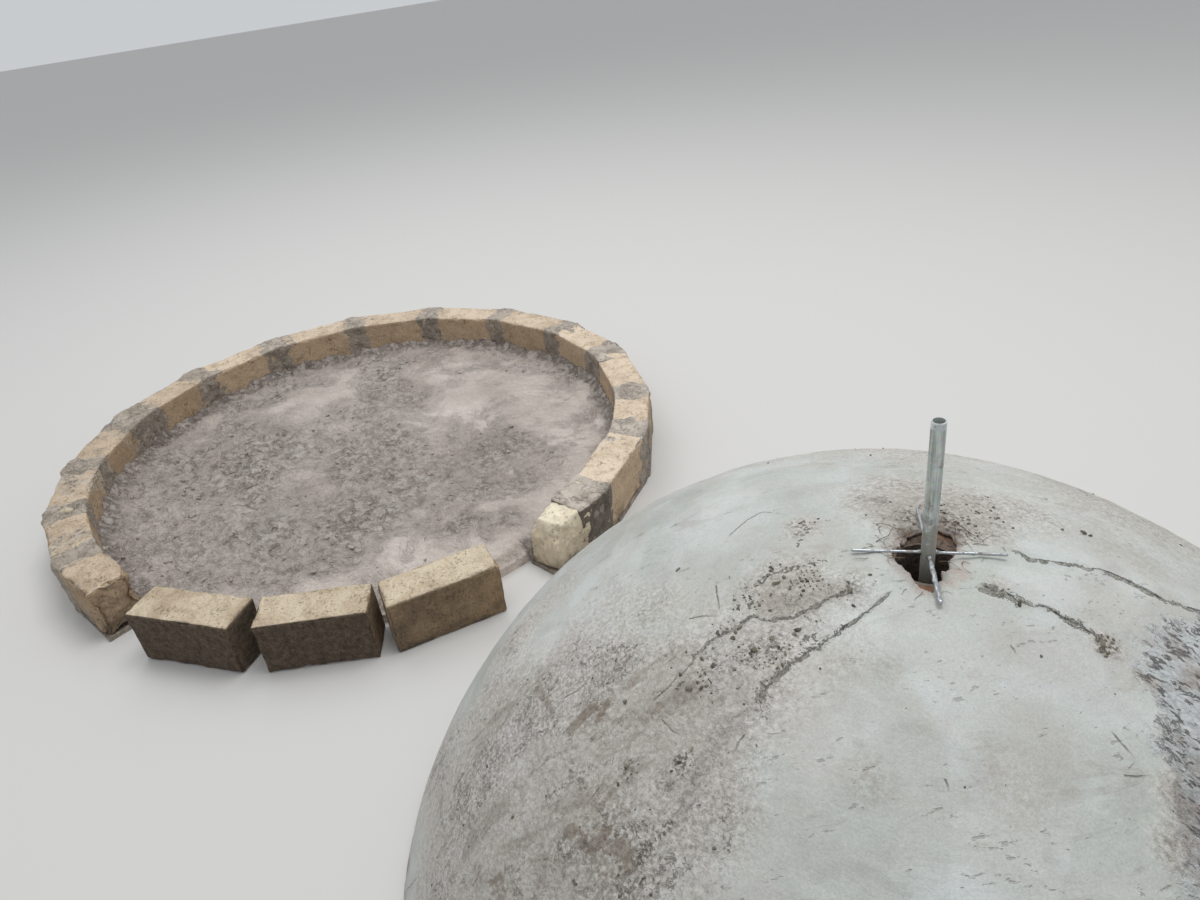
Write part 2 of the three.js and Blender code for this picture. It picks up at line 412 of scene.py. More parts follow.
def blend(share, first, second, kind="MIX"):
    """The first colour turned into the second by a share."""
    inputs = {0: share, 6: first, 7: second}
    return node("ShaderNodeMix", inputs, data_type="RGBA", blend_type=kind)[2]


def cloudy(where, scale, detail=4.0, rough=0.55, warp=0.0):
    """Blender's noise, from 0 to 1 about a half."""
    inputs = {"Vector": where, "Scale": scale, "Detail": detail, "Roughness": rough}
    return node("ShaderNodeTexNoise", {**inputs, "Distortion": warp})[0]


def split(where):
    """The three numbers of a place."""
    return node("ShaderNodeSeparateXYZ", {0: where})


def stretched(where, scale, turn=(0.0, 0.0, 0.0)):
    """Coordinates turned and scaled by different amounts, for a pattern with a direction."""
    return node("ShaderNodeMapping", {"Vector": where, "Rotation": turn, "Scale": scale})[0]


def drawn_out(where, way, stretch):
    """Coordinates turned so that a way in space becomes the third, and drawn out along it."""
    turn = Vector(way).to_track_quat("Z", "Y").to_euler()
    inputs = {"Vector": where, "Rotation": turn, "Scale": (1.0, 1.0, stretch)}
    return node("ShaderNodeMapping", inputs, vector_type="TEXTURE")[0]


def effect(name, outputs, **inputs):
    """Makes a shared effect of the function below it: a node group with named inputs, whose
    outputs are what the function gives. The name then stands for placing it in a material."""

    def make(work):
        group = bpy.data.node_groups.new(name, "ShaderNodeTree")
        for label, value in inputs.items():
            kind = "NodeSocketVector" if value is None else "NodeSocketFloat"
            socket = group.interface.new_socket(label, in_out="INPUT", socket_type=kind)
            if value is not None:
                socket.default_value = value
        for label in outputs:
            group.interface.new_socket(label, in_out="OUTPUT", socket_type="NodeSocketFloat")
        given = group.nodes.new("NodeGroupInput").outputs
        ends = group.nodes.new("NodeGroupOutput").inputs
        for label, result in zip(outputs, work(*(Value(given[label]) for label in inputs))):
            group.links.new(result.socket, ends[label])

        def place(*values):
            placed = node("ShaderNodeGroup", dict(zip(inputs, values)), node_tree=group)
            return placed if len(outputs) > 1 else placed[0]

        return place

    return make


@effect("sandy grain", ["Height", "Grains"], Where=None, Scale=1.0)
def sandy(where, scale):
    """Sand in mortar and stone: fine noise for height, and scattered grains."""
    fine = cloudy(where, scale * 260.0, 3.0, 0.65)
    coarse = cloudy(where, scale * 90.0, 2.0, 0.5)
    grains = node("ShaderNodeTexVoronoi", {"Vector": where, "Scale": scale * 230.0})[0]
    return fine * 0.6 + coarse * 0.4, rises(grains, 0.32, 0.16)


@effect("soft blotches", ["Mask"], Where=None, Scale=3.0, Level=0.5, Edge=0.12)
def blotches(where, scale, level, edge):
    """Large uneven patches: noise that warps itself, cut softly about a level."""
    return (rises(cloudy(where, scale, 5.0, 0.6, 0.7), level - edge, level + edge),)


@effect("ragged flecks", ["Mask", "Depth"], Where=None, Scale=60.0, Level=0.62)
def flecks(where, scale, level):
    """Small ragged spots, such as pits and crumbs: two sizes of noise above a level."""
    wander = cloudy(where, scale * 0.17, 2.0, 0.5)
    above = wander * 0.35 + cloudy(where, scale, 3.0, 0.6, 0.3) - 0.175 - level
    return rises(above, 0.0, 0.05), rises(above, -0.02, 0.08)


@effect("fine tears", ["Mask"], Where=None, Scale=40.0, Level=0.55, Width=0.02)
def tears(where, scale, level, width):
    """Short crooked tears and wisps: thin bands where noise crosses a half, kept only in
    patches."""
    thin = rises(abs(cloudy(where, scale, 4.0, 0.62, 0.5) - 0.5), width, 0.0)
    patch = cloudy(where, scale * 0.45, 3.0, 0.6)
    return (thin * rises(patch, level, level + 0.07),)


@effect("tool lines", ["Height"], Where=None, Stretched=None, Sharpness=0.1)
def tool_lines(where, along, sharpness):
    """Fine parallel lines that a tool leaves: noise drawn out along one direction, wandering."""
    both = cloudy(where, 6.0, 2.0) * 0.5 + cloudy(along, 1.0, 3.0, 0.6) - 0.25
    return (rises(both, 0.5 - sharpness, sharpness + 0.5),)


class Skin:
    """A material in the making: the place of each point, the colour painted so far and, by
    their names, the numbers kept on the piece's points."""

    def __init__(self, name):
        self.material = bpy.data.materials.new(name)
        self.material.use_nodes = True
        self.nodes = self.material.node_tree.nodes
        self.where = Value(self.nodes.new("ShaderNodeTexCoord").outputs["Object"])
        self.colour = None

    def __getitem__(self, name):
        made = self.nodes.new("ShaderNodeAttribute")
        made.attribute_name = name
        return Value(made.outputs["Vector" if name == "own_place" else "Fac"])

    def paint(self, share, colour, kind="MIX"):
        """Turns the colour so far into another by a share."""
        self.colour = blend(share, self.colour, colour, kind)

    def speckle(self, where, scale, share):
        """Makes the colour so far lighter and darker from grain to grain."""
        fine = rises(cloudy(where, scale, 4.0, 0.7), 0.3, 0.7)
        self.paint(share, blend(fine, (0.2, 0.19, 0.18, 1), (0.8, 0.8, 0.8, 1)), "OVERLAY")

    def close(self, roughness, height, metallic=None, specular=None):
        """The material, with its colour, roughness and a height in metres on its shader."""
        inputs = self.nodes["Principled BSDF"].inputs
        bump = node("ShaderNodeBump", {"Height": height, "Distance": 1.0, "Strength": 1.0})[0]
        given = {"Base Color": self.colour, "Roughness": roughness, "Metallic": metallic}
        for label, value in {**given, "Normal": bump}.items():
            if value is not None:
                self.material.node_tree.links.new(value.socket, inputs[label])
        if specular is not None:
            inputs["Specular IOR Level"].default_value = specular
        return self.material


def new_skin(name):
    """A new skin, and the place of each point in its piece."""
    skin = Skin(name)
    return skin, skin.where


def crumbled(where, scale, hollow_shade, lit_peak):
    """Rough crumbled mortar: a noise of many sizes, and a colour from the same noise, darker in its
    hollows and lighter on its peaks as painted shade and light.
    """
    rough = cloudy(where, scale, 6.0, 0.74, 0.2)
    return rough, blend(rises(rough, 0.38, 0.61), hollow_shade, lit_peak)


def ribbon(noisy, reach, thin):
    """1 where a number is between nothing and a reach that wanders with noise, else 0."""
    inside = rises(noisy - reach, thin, -thin)
    return inside * rises(noisy, -thin, thin)


def summed(*parts):
    """The sum of heights, each given as a mask and its height in metres."""
    result = 0.0
    for mask, tall in parts:
        result = maths("MULTIPLY_ADD", mask, tall, result)
    return result


def plaster_finish():
    """Fresh cement plaster: pale where the float closed it, brown and crumbed on the side that
    was walked on, pitted where it was left rough, and cut by laps, dents and scratches. Its
    hollows, cracks, pits, dents and scratches and the recesses by the hole are painted dark as
    their shade."""
    skin, where = new_skin("cement_plaster")
    brown, crumbly, clots = skin["brown"], skin["crumbly"], skin["clots"]
    grain = sandy(where, 1.25)[0]
    wide = blotches(where, 2.7, 0.5, 0.16)
    rosy = blotches(where, 5.5, 0.56, 0.14)
    pale = blotches(where, 4.6, 0.56, 0.12)
    skin.colour = blend(wide, (171, 174, 168), (184, 186, 181))
    skin.paint(pale * 0.65, (196, 202, 203))
    skin.paint(rosy * 0.5, (170, 164, 160))
    floated = rises(skin["tone"], -1.0, 1.0, 0.3, 0.7)
    skin.paint(0.45, blend(floated, (112, 112, 107), (238, 240, 236)), "SOFT_LIGHT")
    tinted = rises(skin["hue"], -1.0, 1.0)
    skin.paint(0.14, blend(tinted, (172, 186, 181), (192, 187, 184)))
    skin.paint(skin["pale"] * 0.5, (206, 211, 210))
    skin.speckle(where, 230.0, 0.14)
    swept = drawn_out(where, way_on_dome((720, 800), (860, 760)), 3.2)
    faint = blotches(swept, 15.0, 0.62, 0.055)
    skin.paint(faint * 0.34, (156, 147, 139))
    # a mottle from the same noise as the clumps' relief: light on them and dark between, partly
    # painted shade
    clumps = cloudy(where, 84.0, 6.0, 0.78, 0.5)
    shade = blend(rises(clumps, 0.42, 0.56), (98, 91, 83), (255, 254, 252))
    skin.paint(rises(brown, 0.0, 0.8, 0.05, 0.7), shade, "SOFT_LIGHT")
    # small pits, painted dark as their shade
    nicks, nicks_depth = flecks(swept, 95.0, 0.67)
    skin.paint(nicks * 0.4, (118, 110, 100))

    # the brown side, crumbled: dark in its hollows as painted shade, with crooked tears, dents and
    # clots painted dark as their shade
    streaks = drawn_out(where, way_on_dome((570, 730), (608, 700)), 3.0)
    rough, shaded_earth = crumbled(where, 115.0, (130, 120, 108), (250, 246, 240))
    skin.paint(brown * 0.6, (190, 180, 171))
    patchy = rises(cloudy(streaks, 8.0, 4.0, 0.6), 0.4, 0.6, 0.3, 1.1)
    torn_up = smaller(patchy * larger(crumbly, brown * 0.78), 1.0)
    chalky = blotches(where, 15.0, 0.57, 0.08)
    skin.paint(chalky * torn_up * 0.5, (202, 199, 194))
    earthy = blotches(streaks, 21.0, rises(brown, 0.4, 1.0, 0.72, 0.58), 0.06)
    skin.paint(earthy * 0.5, (120, 106, 92))
    skin.paint(torn_up * 0.6, shaded_earth)
    kept, width = rises(torn_up, 0.0, 1.0, 0.6, 0.47), rises(torn_up, 0.0, 1.0, 0.012, 0.034)
    curls = tears(where, 46.0, kept, width) * rises(torn_up, 0.05, 0.4)
    skin.paint(curls * 0.6, (98, 89, 77))
    # sandy lines, crumbled: dark in their hollows as painted shade
    sand, sand_grain = crumbled(where, 190.0, (150, 140, 124), (216, 208, 195))
    skin.paint(skin["sandy"] * 0.42, sand_grain)
    spiky, spiky_depth = flecks(where, 150.0, rises(clots, 0.0, 0.9, 0.8, 0.5))
    skin.paint(spiky * 0.72, (92, 85, 73))
    ragged = cloudy(streaks, 75.0, 5.0, 0.72) * 1.5 + skin["smeared"] - 1.3
    patch = rises(ragged, -0.12, 0.22)
    skin.paint(patch * 0.6, (126, 112, 95))
    skin.paint(skin["stripe"] * 0.2, (112, 108, 102))

    # the band that was left rough: whitish, crumbled with painted shade in its hollows, with
    # crooked tears and pits drawn out along it and painted dark as their shade
    edge = cloudy(where, 24.0, 5.0, 0.7) * 0.2 + skin["pitted"] - 0.1
    in_band = rises(edge, -0.015, 0.035)
    along_band = drawn_out(where, way_on_dome((1140, 680), (1180, 705)), 1.9)
    whitish = blend(rises(cloudy(where, 9.0, 4.0), 0.5, 0.62), (214, 220, 222), (170, 157, 147))
    skin.paint(in_band * 0.72, whitish)
    band_rough, band_grain = crumbled(along_band, 120.0, (122, 115, 108), (226, 228, 228))
    skin.paint(in_band * 0.34, band_grain)
    slits = larger(tears(along_band, 44.0, 0.49, 0.042), flecks(along_band, 90.0, 0.6)[0]) * in_band
    skin.paint(slits * 0.85, (86, 82, 77))

    # laps between two coats and scratches: a crack along each line, painted dark as its shade, torn
    # to both sides of it; the torn belt is crumbled with painted shade in its hollows, and its
    # fringe and the scratches are painted dark as their shade
    lap_near, thick, torn = skin["lap_near"], skin["lap_thick"], skin["lap_torn"]
    wander = cloudy(where, 50.0, 6.0, 0.72) * 0.012 + skin["lap"] - 0.006
    width = thick * rises(cloudy(where, 32.0, 3.0), 0.38, 0.64, -0.0012, 0.0017)
    broken = rises(cloudy(where, 24.0, 4.0), 0.43, 0.53, 0.12, 1.0)
    crack_shade = rises(abs(wander) - width, 0.0009, -0.0004) * lap_near * broken
    crack_shade = crack_shade * smaller(thick * 2.2, 1.0)
    low_reach = torn * rises(cloudy(where, 27.0, 5.0, 0.68), 0.36, 0.64, -0.003, 0.023)
    high_reach = torn * rises(cloudy(where, 35.0, 5.0, 0.68, 0.2), 0.42, 0.66, -0.003, 0.017)
    low_side = ribbon(wander * -1.0, low_reach, 0.0012)
    belt = larger(low_side, ribbon(wander, high_reach, 0.0012)) * lap_near
    clay_rough, clay = crumbled(where, 150.0, (124, 117, 101), (220, 214, 199))
    skin.paint(belt * 0.5, clay)
    fringe = tears(where, 70.0, 0.45, 0.034) * belt
    skin.paint(fringe * 0.55, (92, 86, 70))
    skin.paint(crack_shade * 0.8, (84, 78, 66))
    scratch_wander = cloudy(where, 50.0, 3.0) * 0.004 + skin["scratch"] - 0.002
    kept = rises(cloudy(where, 90.0, 2.0), 0.34, 0.5, 0.35, 1.0)
    scratch = rises(abs(scratch_wander), 0.0021, 0.0005) * kept * skin["scratch_near"]
    skin.paint(scratch * 0.75, (94, 87, 75))

    # mud at the foot and smeared about, which at the back of the hole is also painted shade; the
    # mortar round the hole; and painted shade in the recesses beside the hole
    low_down = rises(split(where)[2], 0.09, 0.0)
    splash = low_down * rises(cloudy(where, 22.0, 5.0, 0.65), 0.38, 0.6)
    skin.paint(splash * 0.8, (112, 92, 80))
    rim_dirt = skin["rim"] * rises(cloudy(where, 60.0, 5.0, 0.65), 0.25, 0.55)
    skin.paint(rim_dirt * 0.85, (178, 160, 152))
    muddy = skin["mud"] * rises(cloudy(where, 95.0, 6.0, 0.78), 0.42, 0.58)
    skin.paint(muddy * 0.62, (120, 103, 88))
    hollow_shade = skin["recess"] * rises(cloudy(where, 85.0, 6.0, 0.75), 0.3, 0.56, 0.35, 1.0)
    skin.paint(hollow_shade * 0.92, (84, 73, 65))

    lines = tool_lines(where, stretched(where, (11.0, 14.0, 150.0), (0.35, 0.2, 0.0)), 0.22)
    closed = 1.0 - smaller(torn_up + in_band, 1.0)
    height = summed(
        (grain, 0.0011), (lines * closed, 0.0004), (rough * torn_up, 0.009),
        (band_rough * in_band, 0.008), (faint, 0.0005), (clumps * brown, 0.007),
        (nicks_depth, -0.0012), (curls, -0.0022), (sand * skin["sandy"], 0.006),
        (spiky_depth, -0.004), (patch, 0.001), (slits, -0.0035), (crack_shade, -0.005),
        (clay_rough * belt, 0.009), (fringe, -0.003), (scratch, -0.002),
    )
    return skin.close(between(torn_up, between(wide, 0.5, 0.62), 0.84), height, specular=0.4)


def stone_finish(name, top, side, dark, smeared=1.0):
    """Hewn stone: tan with darker beds, lighter on top and darker on its sides as painted light and
    shade, pitted and chisel-marked with its pits painted dark as their shade, with mortar smeared
    near the joints and its cracks painted dark as their shade, and darker towards its foot; the
    dry stones' outer faces carry mud, partly painted shade. It reads the stone's own coordinates."""
    skin, where = new_skin(name)
    own = skin["own_place"]
    up, smear = skin["facing_up"], skin["smear"]
    grain, grains = sandy(own, 0.9)
    beds = blotches(stretched(own, (1.0, 1.0, 2.6)), 7.0, 0.54, 0.15)
    stains = blotches(own, 17.0, 0.58, 0.1)
    pits, pits_depth = flecks(own, 85.0, 0.63)
    # lighter on top and darker on the sides: painted light and shade
    skin.colour = blend(rises(up, 0.2, 0.8), side, top)
    skin.paint(beds * 0.45, dark)
    skin.paint(stains * 0.3, (128, 108, 84))
    shade = blend(rises(skin["tone"], -1.0, 1.0, 0.3, 0.7), (96, 92, 84), (236, 230, 214))
    skin.paint(0.35, shade, "SOFT_LIGHT")
    skin.paint(grains * 0.14, (232, 220, 196))
    # pits, painted dark as their shade
    skin.paint(pits * rises(up, 0.2, 0.8, 0.4, 0.24), (108, 88, 66))
    skin.paint(skin["dull"], (222, 218, 213), "MULTIPLY")
    skin.speckle(own, 120.0, 0.3)
    film_edge = cloudy(own, 24.0, 5.0, 0.68, 0.5) * 1.1 + smear - 1.16
    film = rises(film_edge, -0.12, 0.16) * smeared
    mortar = blend(rises(cloudy(own, 46.0, 5.0, 0.7), 0.35, 0.65), (150, 140, 127), (194, 184, 169))
    skin.paint(film * 0.8, mortar)
    # cracks in the mortar film, painted dark as their shade
    cracks = film * tears(own, 42.0, 0.44, 0.04)
    skin.paint(cracks * 0.6, (106, 96, 84))
    # darker towards the foot, and on the dry stones' outer faces mud that is partly painted shade
    low_down = rises(split(where)[2], 0.11, 0.0)
    mud = low_down * rises(cloudy(own, 15.0, 5.0, 0.65), 0.36, 0.6)
    coated = cloudy(own, 8.0, 6.0, 0.7) * 0.55 + skin["mud"] - 0.72
    mud = larger(mud, rises(coated, -0.25, 0.25))
    mud_and_shade = blend(rises(cloudy(own, 60.0, 6.0, 0.75), 0.3, 0.7), (46, 40, 35), (98, 86, 74))
    skin.paint(mud * 0.92, mud_and_shade)
    chisel = tool_lines(own, stretched(own, (70.0, 70.0, 16.0), (0.3, 0.0, 0.2)), 0.16)
    beneath = 1.0 - film
    height = summed(
        (grain, 0.0022), (chisel * beneath, 0.0016), (cloudy(own, 38.0, 5.0, 0.68), 0.006),
        (pits_depth * beneath, -0.003), (film, 0.0018), (cracks, -0.003),
    )
    return skin.close(between(film, 0.93, 0.8), height, specular=0.25)


def joint_mortar_finish():
    """Mortar pressed into the joints and smeared with the trowel: grey-brown and soft, lighter on
    top and darker on its sides as painted light and shade, with crooked ridges where the trowel
    left it and creases beside them painted dark as their shade, and torn into crumbs in places,
    dark in their hollows as painted shade."""
    skin, where = new_skin("joint_mortar")
    grain = sandy(where, 0.9)[0]
    damp = blotches(where, 9.0, 0.5, 0.16)
    torn = blotches(where, 14.0, 0.56, 0.12)
    rough, crumbs = crumbled(where, 70.0, (124, 113, 101), (198, 188, 174))
    # lighter on top than on the sides: painted light and shade; the tops are also soiled
    up = rises(skin["facing_up"], 0.3, 0.8)
    side = blend(damp, (168, 157, 144), (140, 129, 117))
    side = blend(skin["wet"] * 0.75, side, (98, 88, 79))
    lit_trodden_top = blend(skin["soiled"], (206, 196, 185), (158, 147, 133))
    skin.colour = blend(up, side, blend(damp, lit_trodden_top, (174, 163, 151)))
    skin.paint(torn * rises(skin["wet"], 0.2, 1.0, 0.5, 0.15), crumbs)
    skin.speckle(where, 150.0, 0.2)
    # creases beside the ridges, painted dark as their shade
    ridges = tears(where, 19.0, 0.42, 0.03)
    beside = tears(where, 33.0, 0.5, 0.022)
    skin.paint(beside * 0.5, (112, 102, 90))
    height = summed(
        (grain, 0.0018), (rough * torn, 0.013), (ridges, 0.003), (beside, -0.0025),
        (cloudy(where, 22.0, 4.0, 0.6), 0.007),
    )
    return skin.close(between(damp, 0.84, 0.6), height, specular=0.35)


def floor_finish():
    """The chamber's floor: wet mortar, drawn out smooth in patches with faint ripples, and torn
    up between them into crumbs that are dark in their hollows as painted shade, with creases
    between the clods painted dark as their shade."""
    skin, where = new_skin("floor_mortar")
    grain = sandy(where, 0.9)[0]
    wide = blotches(where, 2.2, 0.5, 0.16)
    wet = blotches(where, 5.0, 0.54, 0.1)
    skin.colour = blend(wide, (194, 184, 176), (178, 167, 159))
    skin.paint(wet * 0.45, (162, 150, 141))
    skin.speckle(where, 110.0, 0.25)
    reach = skin["rough"] * 0.3 + cloudy(where, 6.0, 6.0, 0.7, 0.5) - 0.735
    torn = rises(reach, -0.2, 0.17)
    rough, crumbs = crumbled(where, 30.0, (112, 100, 91), (232, 224, 216))
    skin.paint(torn * 0.5, crumbs)
    # creases between clods, painted dark as their shade
    clod_shade = tears(where, 12.0, 0.46, rises(torn, 0.1, 0.9, 0.0, 0.04))
    skin.paint(clod_shade * torn * 0.6, (112, 100, 90))
    dark_foot = skin["at_wall"] * rises(cloudy(where, 34.0, 5.0, 0.7), 0.42, 0.56)
    skin.paint(dark_foot * 0.6, (104, 92, 83))
    swept = drawn_out(where, (0.9, 0.43, 0.0), 5.0)
    lines = tool_lines(where, stretched(swept, (42.0, 42.0, 42.0)), 0.2)
    smoothed = 1.0 - torn
    skin.paint(lines * smoothed * 0.22, (148, 137, 128))
    height = summed(
        (grain, 0.0016), (lines * smoothed, 0.0022), (rough * torn, 0.034), (torn, 0.008),
        (clod_shade * torn, -0.006),
    )
    return skin.close(between(torn, between(wet, 0.5, 0.3), 0.72), height, specular=0.45)


def masonry_finish():
    """The dome's brickwork under its plaster: orange-brown bricks on edge with mortar between,
    and darker inside the hole on its far side as painted shade.
    """
    skin, where = new_skin("dome_brickwork")
    x, y, z = (part - float(middle) for part, middle in zip(split(where), DOME_CENTRE))
    out = maths("SQRT", x * x + y * y)
    across, up = maths("ARCTAN2", y, x) * 1.1, maths("ARCTAN2", out, z) * 1.5
    inputs = {
        "Vector": node("ShaderNodeCombineXYZ", {0: across, 1: up})[0], "Scale": 1.0,
        "Color1": (168, 122, 88), "Color2": (140, 98, 72), "Mortar": (134, 124, 112),
        "Mortar Size": 0.006, "Mortar Smooth": 0.3, "Brick Width": 0.22, "Row Height": 0.075,
    }
    bricks, seams = node("ShaderNodeTexBrick", inputs)
    soot = blotches(where, 14.0, 0.55, 0.12)
    skin.colour = blend(soot * 0.5, bricks, (104, 72, 54))
    # darker inside the hole on its far side: painted shade, in earth colours
    hole_shade = rises(out, 0.13, 0.08) * rises(y, -0.03, 0.03, 0.3, 1.0)
    shaded_earth = blend(rises(cloudy(where, 90.0, 6.0, 0.75), 0.35, 0.65), (58, 48, 41), (112, 98, 86))
    skin.paint(hole_shade * 0.94, shaded_earth)
    grain = sandy(where, 0.8)[0]
    return skin.close(between(soot, 0.9, 0.8), summed((grain, 0.002), (seams, -0.004)))


def pipe_finish():
    """Galvanised steel pipe: dull zinc with long pale runs, bright on the cut thread and the mouth,
    the thread's crests brighter than its roots as a painted glint and shade, and dusted with
    cement towards its foot."""
    skin, _ = new_skin("galvanised_steel")
    own, bright_cut_and_glint = skin["own_place"], skin["bright_cut_and_glint"]
    runs = cloudy(stretched(own, (200.0, 200.0, 9.0)), 1.0, 4.0, 0.6)
    spangle = node("ShaderNodeTexVoronoi", {"Vector": own, "Scale": 110.0})[1]
    zinc = blend(rises(runs, 0.34, 0.66), (168, 175, 171), (216, 221, 217))
    zinc = blend(0.12, zinc, spangle, "SOFT_LIGHT")
    dull = blotches(own, 26.0, 0.56, 0.1)
    zinc = blend(dull * 0.35, zinc, (120, 124, 118))
    skin.colour = blend(bright_cut_and_glint, zinc, (214, 219, 220))
    dusty = cloudy(own, 42.0, 5.0, 0.7) + rises(split(own)[2], 0.16, -0.06, -0.62, -0.22)
    dust = rises(dusty, -0.06, 0.1)
    skin.paint(dust * 0.85, (150, 146, 136))
    grain = sandy(own, 2.0)[0]
    height = summed((runs, 0.0003), (grain * dust, 0.0016), (dust, 0.0006))
    return skin.close(between(dust, between(bright_cut_and_glint, 0.46, 0.28), 0.85), height, 0.4 - dust * 0.36)


def rod_finish():
    """Plain steel rod: bright from the mill, with specks of rust and cement."""
    skin, where = new_skin("rod_steel")
    rust = flecks(where, 120.0, 0.6)[0]
    cement = blotches(where, 45.0, 0.62, 0.06)
    weld = skin["weld"]
    runs = cloudy(where, 60.0, 3.0)
    skin.colour = blend(runs, (150, 156, 160), (202, 207, 210))
    skin.paint(weld * 0.75, (104, 104, 102))
    skin.paint(rust * 0.7, (118, 82, 58))
    skin.paint(cement * 0.8, (158, 154, 144))
    cover = larger(rust, cement)
    metal = 0.9 - cover * 0.85
    roughness = between(cover, 0.36, 0.8)
    height = summed((cover, 0.0005), (cloudy(where, 240.0, 3.0) * weld, 0.0012))
    return skin.close(roughness, height, metal)


def speck_finish(name, light, dark, rough=0.9):
    """Crumbs, roots and pebbles: two colours mixed by noise, with a grainy skin."""
    skin, where = new_skin(name)
    skin.colour = blend(rises(cloudy(where, 55.0, 4.0, 0.65), 0.36, 0.64), light, dark)
    grain, grains = sandy(where, 1.3)
    roughness = between(grains, rough, rough - 0.1)
    return skin.close(roughness, summed((grain, 0.0015)))


# colours for each kind of stone: its top painted lit, its sides painted in shade, and its darker
# beds
HEWN = stone_finish("hewn_stone", (222, 205, 185), (191, 169, 145), (165, 144, 121))
DRY = stone_finish("dry_stone", (208, 194, 173), (172, 147, 118), (142, 117, 91), 0.7)
BROKEN = stone_finish("broken_stone", (240, 230, 208), (226, 211, 188), (204, 187, 163), 0.1)
JOINT = joint_mortar_finish()
FLOOR = floor_finish()
COAT = plaster_finish()
BRICKWORK = masonry_finish()
PIPE = pipe_finish()
ROD = rod_finish()
CRUMB = speck_finish("mortar_crumbs", (132, 125, 110), (74, 68, 57))
ROOT = speck_finish("root_fibres", (156, 134, 104), (78, 61, 46), 0.8)
PEBBLE = speck_finish("pale_pebble", (214, 204, 182), (180, 166, 140))


# The ring of stones
def stone_seat(span, face=None):
    """A stone whose outer corners lie on the ring's circle: its middle angle, half its length,
    and how far its outer face is from the ring's centre."""
    first, last = np.radians(span)
    half = (last - first) / 2
    return (first + last) / 2, RING_OUTER * math.sin(half), face or RING_OUTER * math.cos(half)


def on_ring(middle, outward, along, height):
    """The place that is outward and along from the ring's centre at an angle, and at a height."""
    cos, sin = math.cos(middle), math.sin(middle)
    place = [outward * cos - along * sin, outward * sin + along * cos, height]
    return RING_CENTRE + np.stack(place, -1)


def hewn_stone(
    name, span, bottom, top, finish, seed,
    face=None, spread=1.0, broken_end=False, mud=(0, 0), dull=0.0,
):
    """A hewn block: a worn block, pressed in by layered noise, by shallow hollows and by chips
    where noise is high on an arris, then set on the ring. A broken end is torn deeper."""
    middle, half_length, face = stone_seat(span, face)
    half = np.array([STONE_DEPTH / 2, half_length, (top - bottom) / 2])
    points, way, faces = worn_block(half, STONE_CELL, 0.009, seed)
    own = points + np.array([seed * 1.7, seed * 0.9, seed * 0.4])
    arris = falls(np.max(np.abs(way), axis=1), 0.82, 1.0)
    chip = np.maximum(layered(own, 0.055, seed + 3) - 0.15, 0) * arris
    press = 0.0016 + 0.0022 * layered(own, 0.05, seed) + 0.0032 * noise(own, 0.16, seed + 7)
    press = press + 0.028 * chip
    if broken_end:
        end = smooth(points[:, 1], half_length - 0.1, half_length - 0.02)
        press = press + end * (0.012 + 0.022 * layered(own, 0.07, seed + 11))
    x, y, z = (points - way * np.maximum(press, -0.0008)[:, None]).T
    placed = on_ring(middle, face - STONE_DEPTH / 2 + x, y, (bottom + top) / 2 + z)
    placed[:, 2] = np.maximum(placed[:, 2], bottom)
    inner_foot = smooth(-x, 0.02, 0.07) * smooth(-z, -0.02, 0.07)
    smear = spread * np.maximum(1 - (half_length - np.abs(y)) / 0.1, 0.75 * inner_foot)
    smear = np.maximum(smear, 0.5 * spread * (1 + layered(own, 0.12, seed + 5)) - 0.18)
    if broken_end:
        smear = smear * (1 - 0.85 * end)
    # mud on the dry stones' outer faces, partly painted shade
    outer_face = smooth(way[:, 0], 0.3, 0.8) + 0.6 * smooth(np.abs(way[:, 1]), 0.5, 0.9)
    along_face = (y / half_length + 1) / 2
    muddy = outer_face * (mud[0] + (mud[1] - mud[0]) * along_face) + 0.2 * (mud[0] > 0)
    marks = {
        "own_place": own, "facing_up": way[:, 2], "smear": np.clip(smear, 0, 1), "mud": muddy,
        "tone": 2 * float(hashed(np.array([[seed, 3, 5]]), 1)[0]) - 1, "dull": dull,
    }
    make_piece(f"hewn_{name}", placed, faces, finish, (name,), marks)


def broken_stone():
    """The broken stone: from its middle each way reaches the planes of its solid, softly joined
    by a high power, and is pressed in by layered noise."""
    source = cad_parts["broken_stone"].data
    corners = np.empty(3 * len(source.vertices))
    source.vertices.foreach_get("co", corners)
    corners = corners.reshape(-1, 3)
    triangles = np.array([polygon.vertices[:] for polygon in source.polygons])
    a, b, c = (corners[triangles[:, i]] for i in range(3))
    normals = np.cross(b - a, c - a)
    kept = np.linalg.norm(normals, axis=1) > 1e-7
    normals, a = unit(normals[kept]), a[kept]
    middle = corners.mean(axis=0)
    reach = np.einsum("ij,ij->i", a - middle, normals)
    planes = np.unique(np.round(np.column_stack([normals, reach]), 4), axis=0)
    normals, reach = planes[:, :3], planes[:, 3]
    places, faces = block_lattice(np.full(3, BROKEN_CELLS))
    way = unit(2 * places - 1)
    closeness = np.maximum(way @ normals.T, 0) / reach
    distance = np.sum(closeness**EDGE_POWER, axis=1) ** (-1 / EDGE_POWER)
    points = way * distance[:, None]
    press = 0.003 + 0.0055 * layered(points, 0.07, 41) + 0.0022 * noise(points, 0.02, 42)
    points = middle + points - way * np.maximum(press, -0.001)[:, None]
    points[:, 2] = np.maximum(points[:, 2], STONE_BOTTOM)
    smear = np.clip(0.3 - 1.2 * way[:, 2] + 0.3 * layered(points, 0.08, 43), 0, 1)
    marks = {"own_place": points, "facing_up": way[:, 2], "tone": 0.4, "smear": smear, "mud": 0.0}
    make_piece("hewn_broken_stone", points, faces, BROKEN, ("broken_stone",), marks)


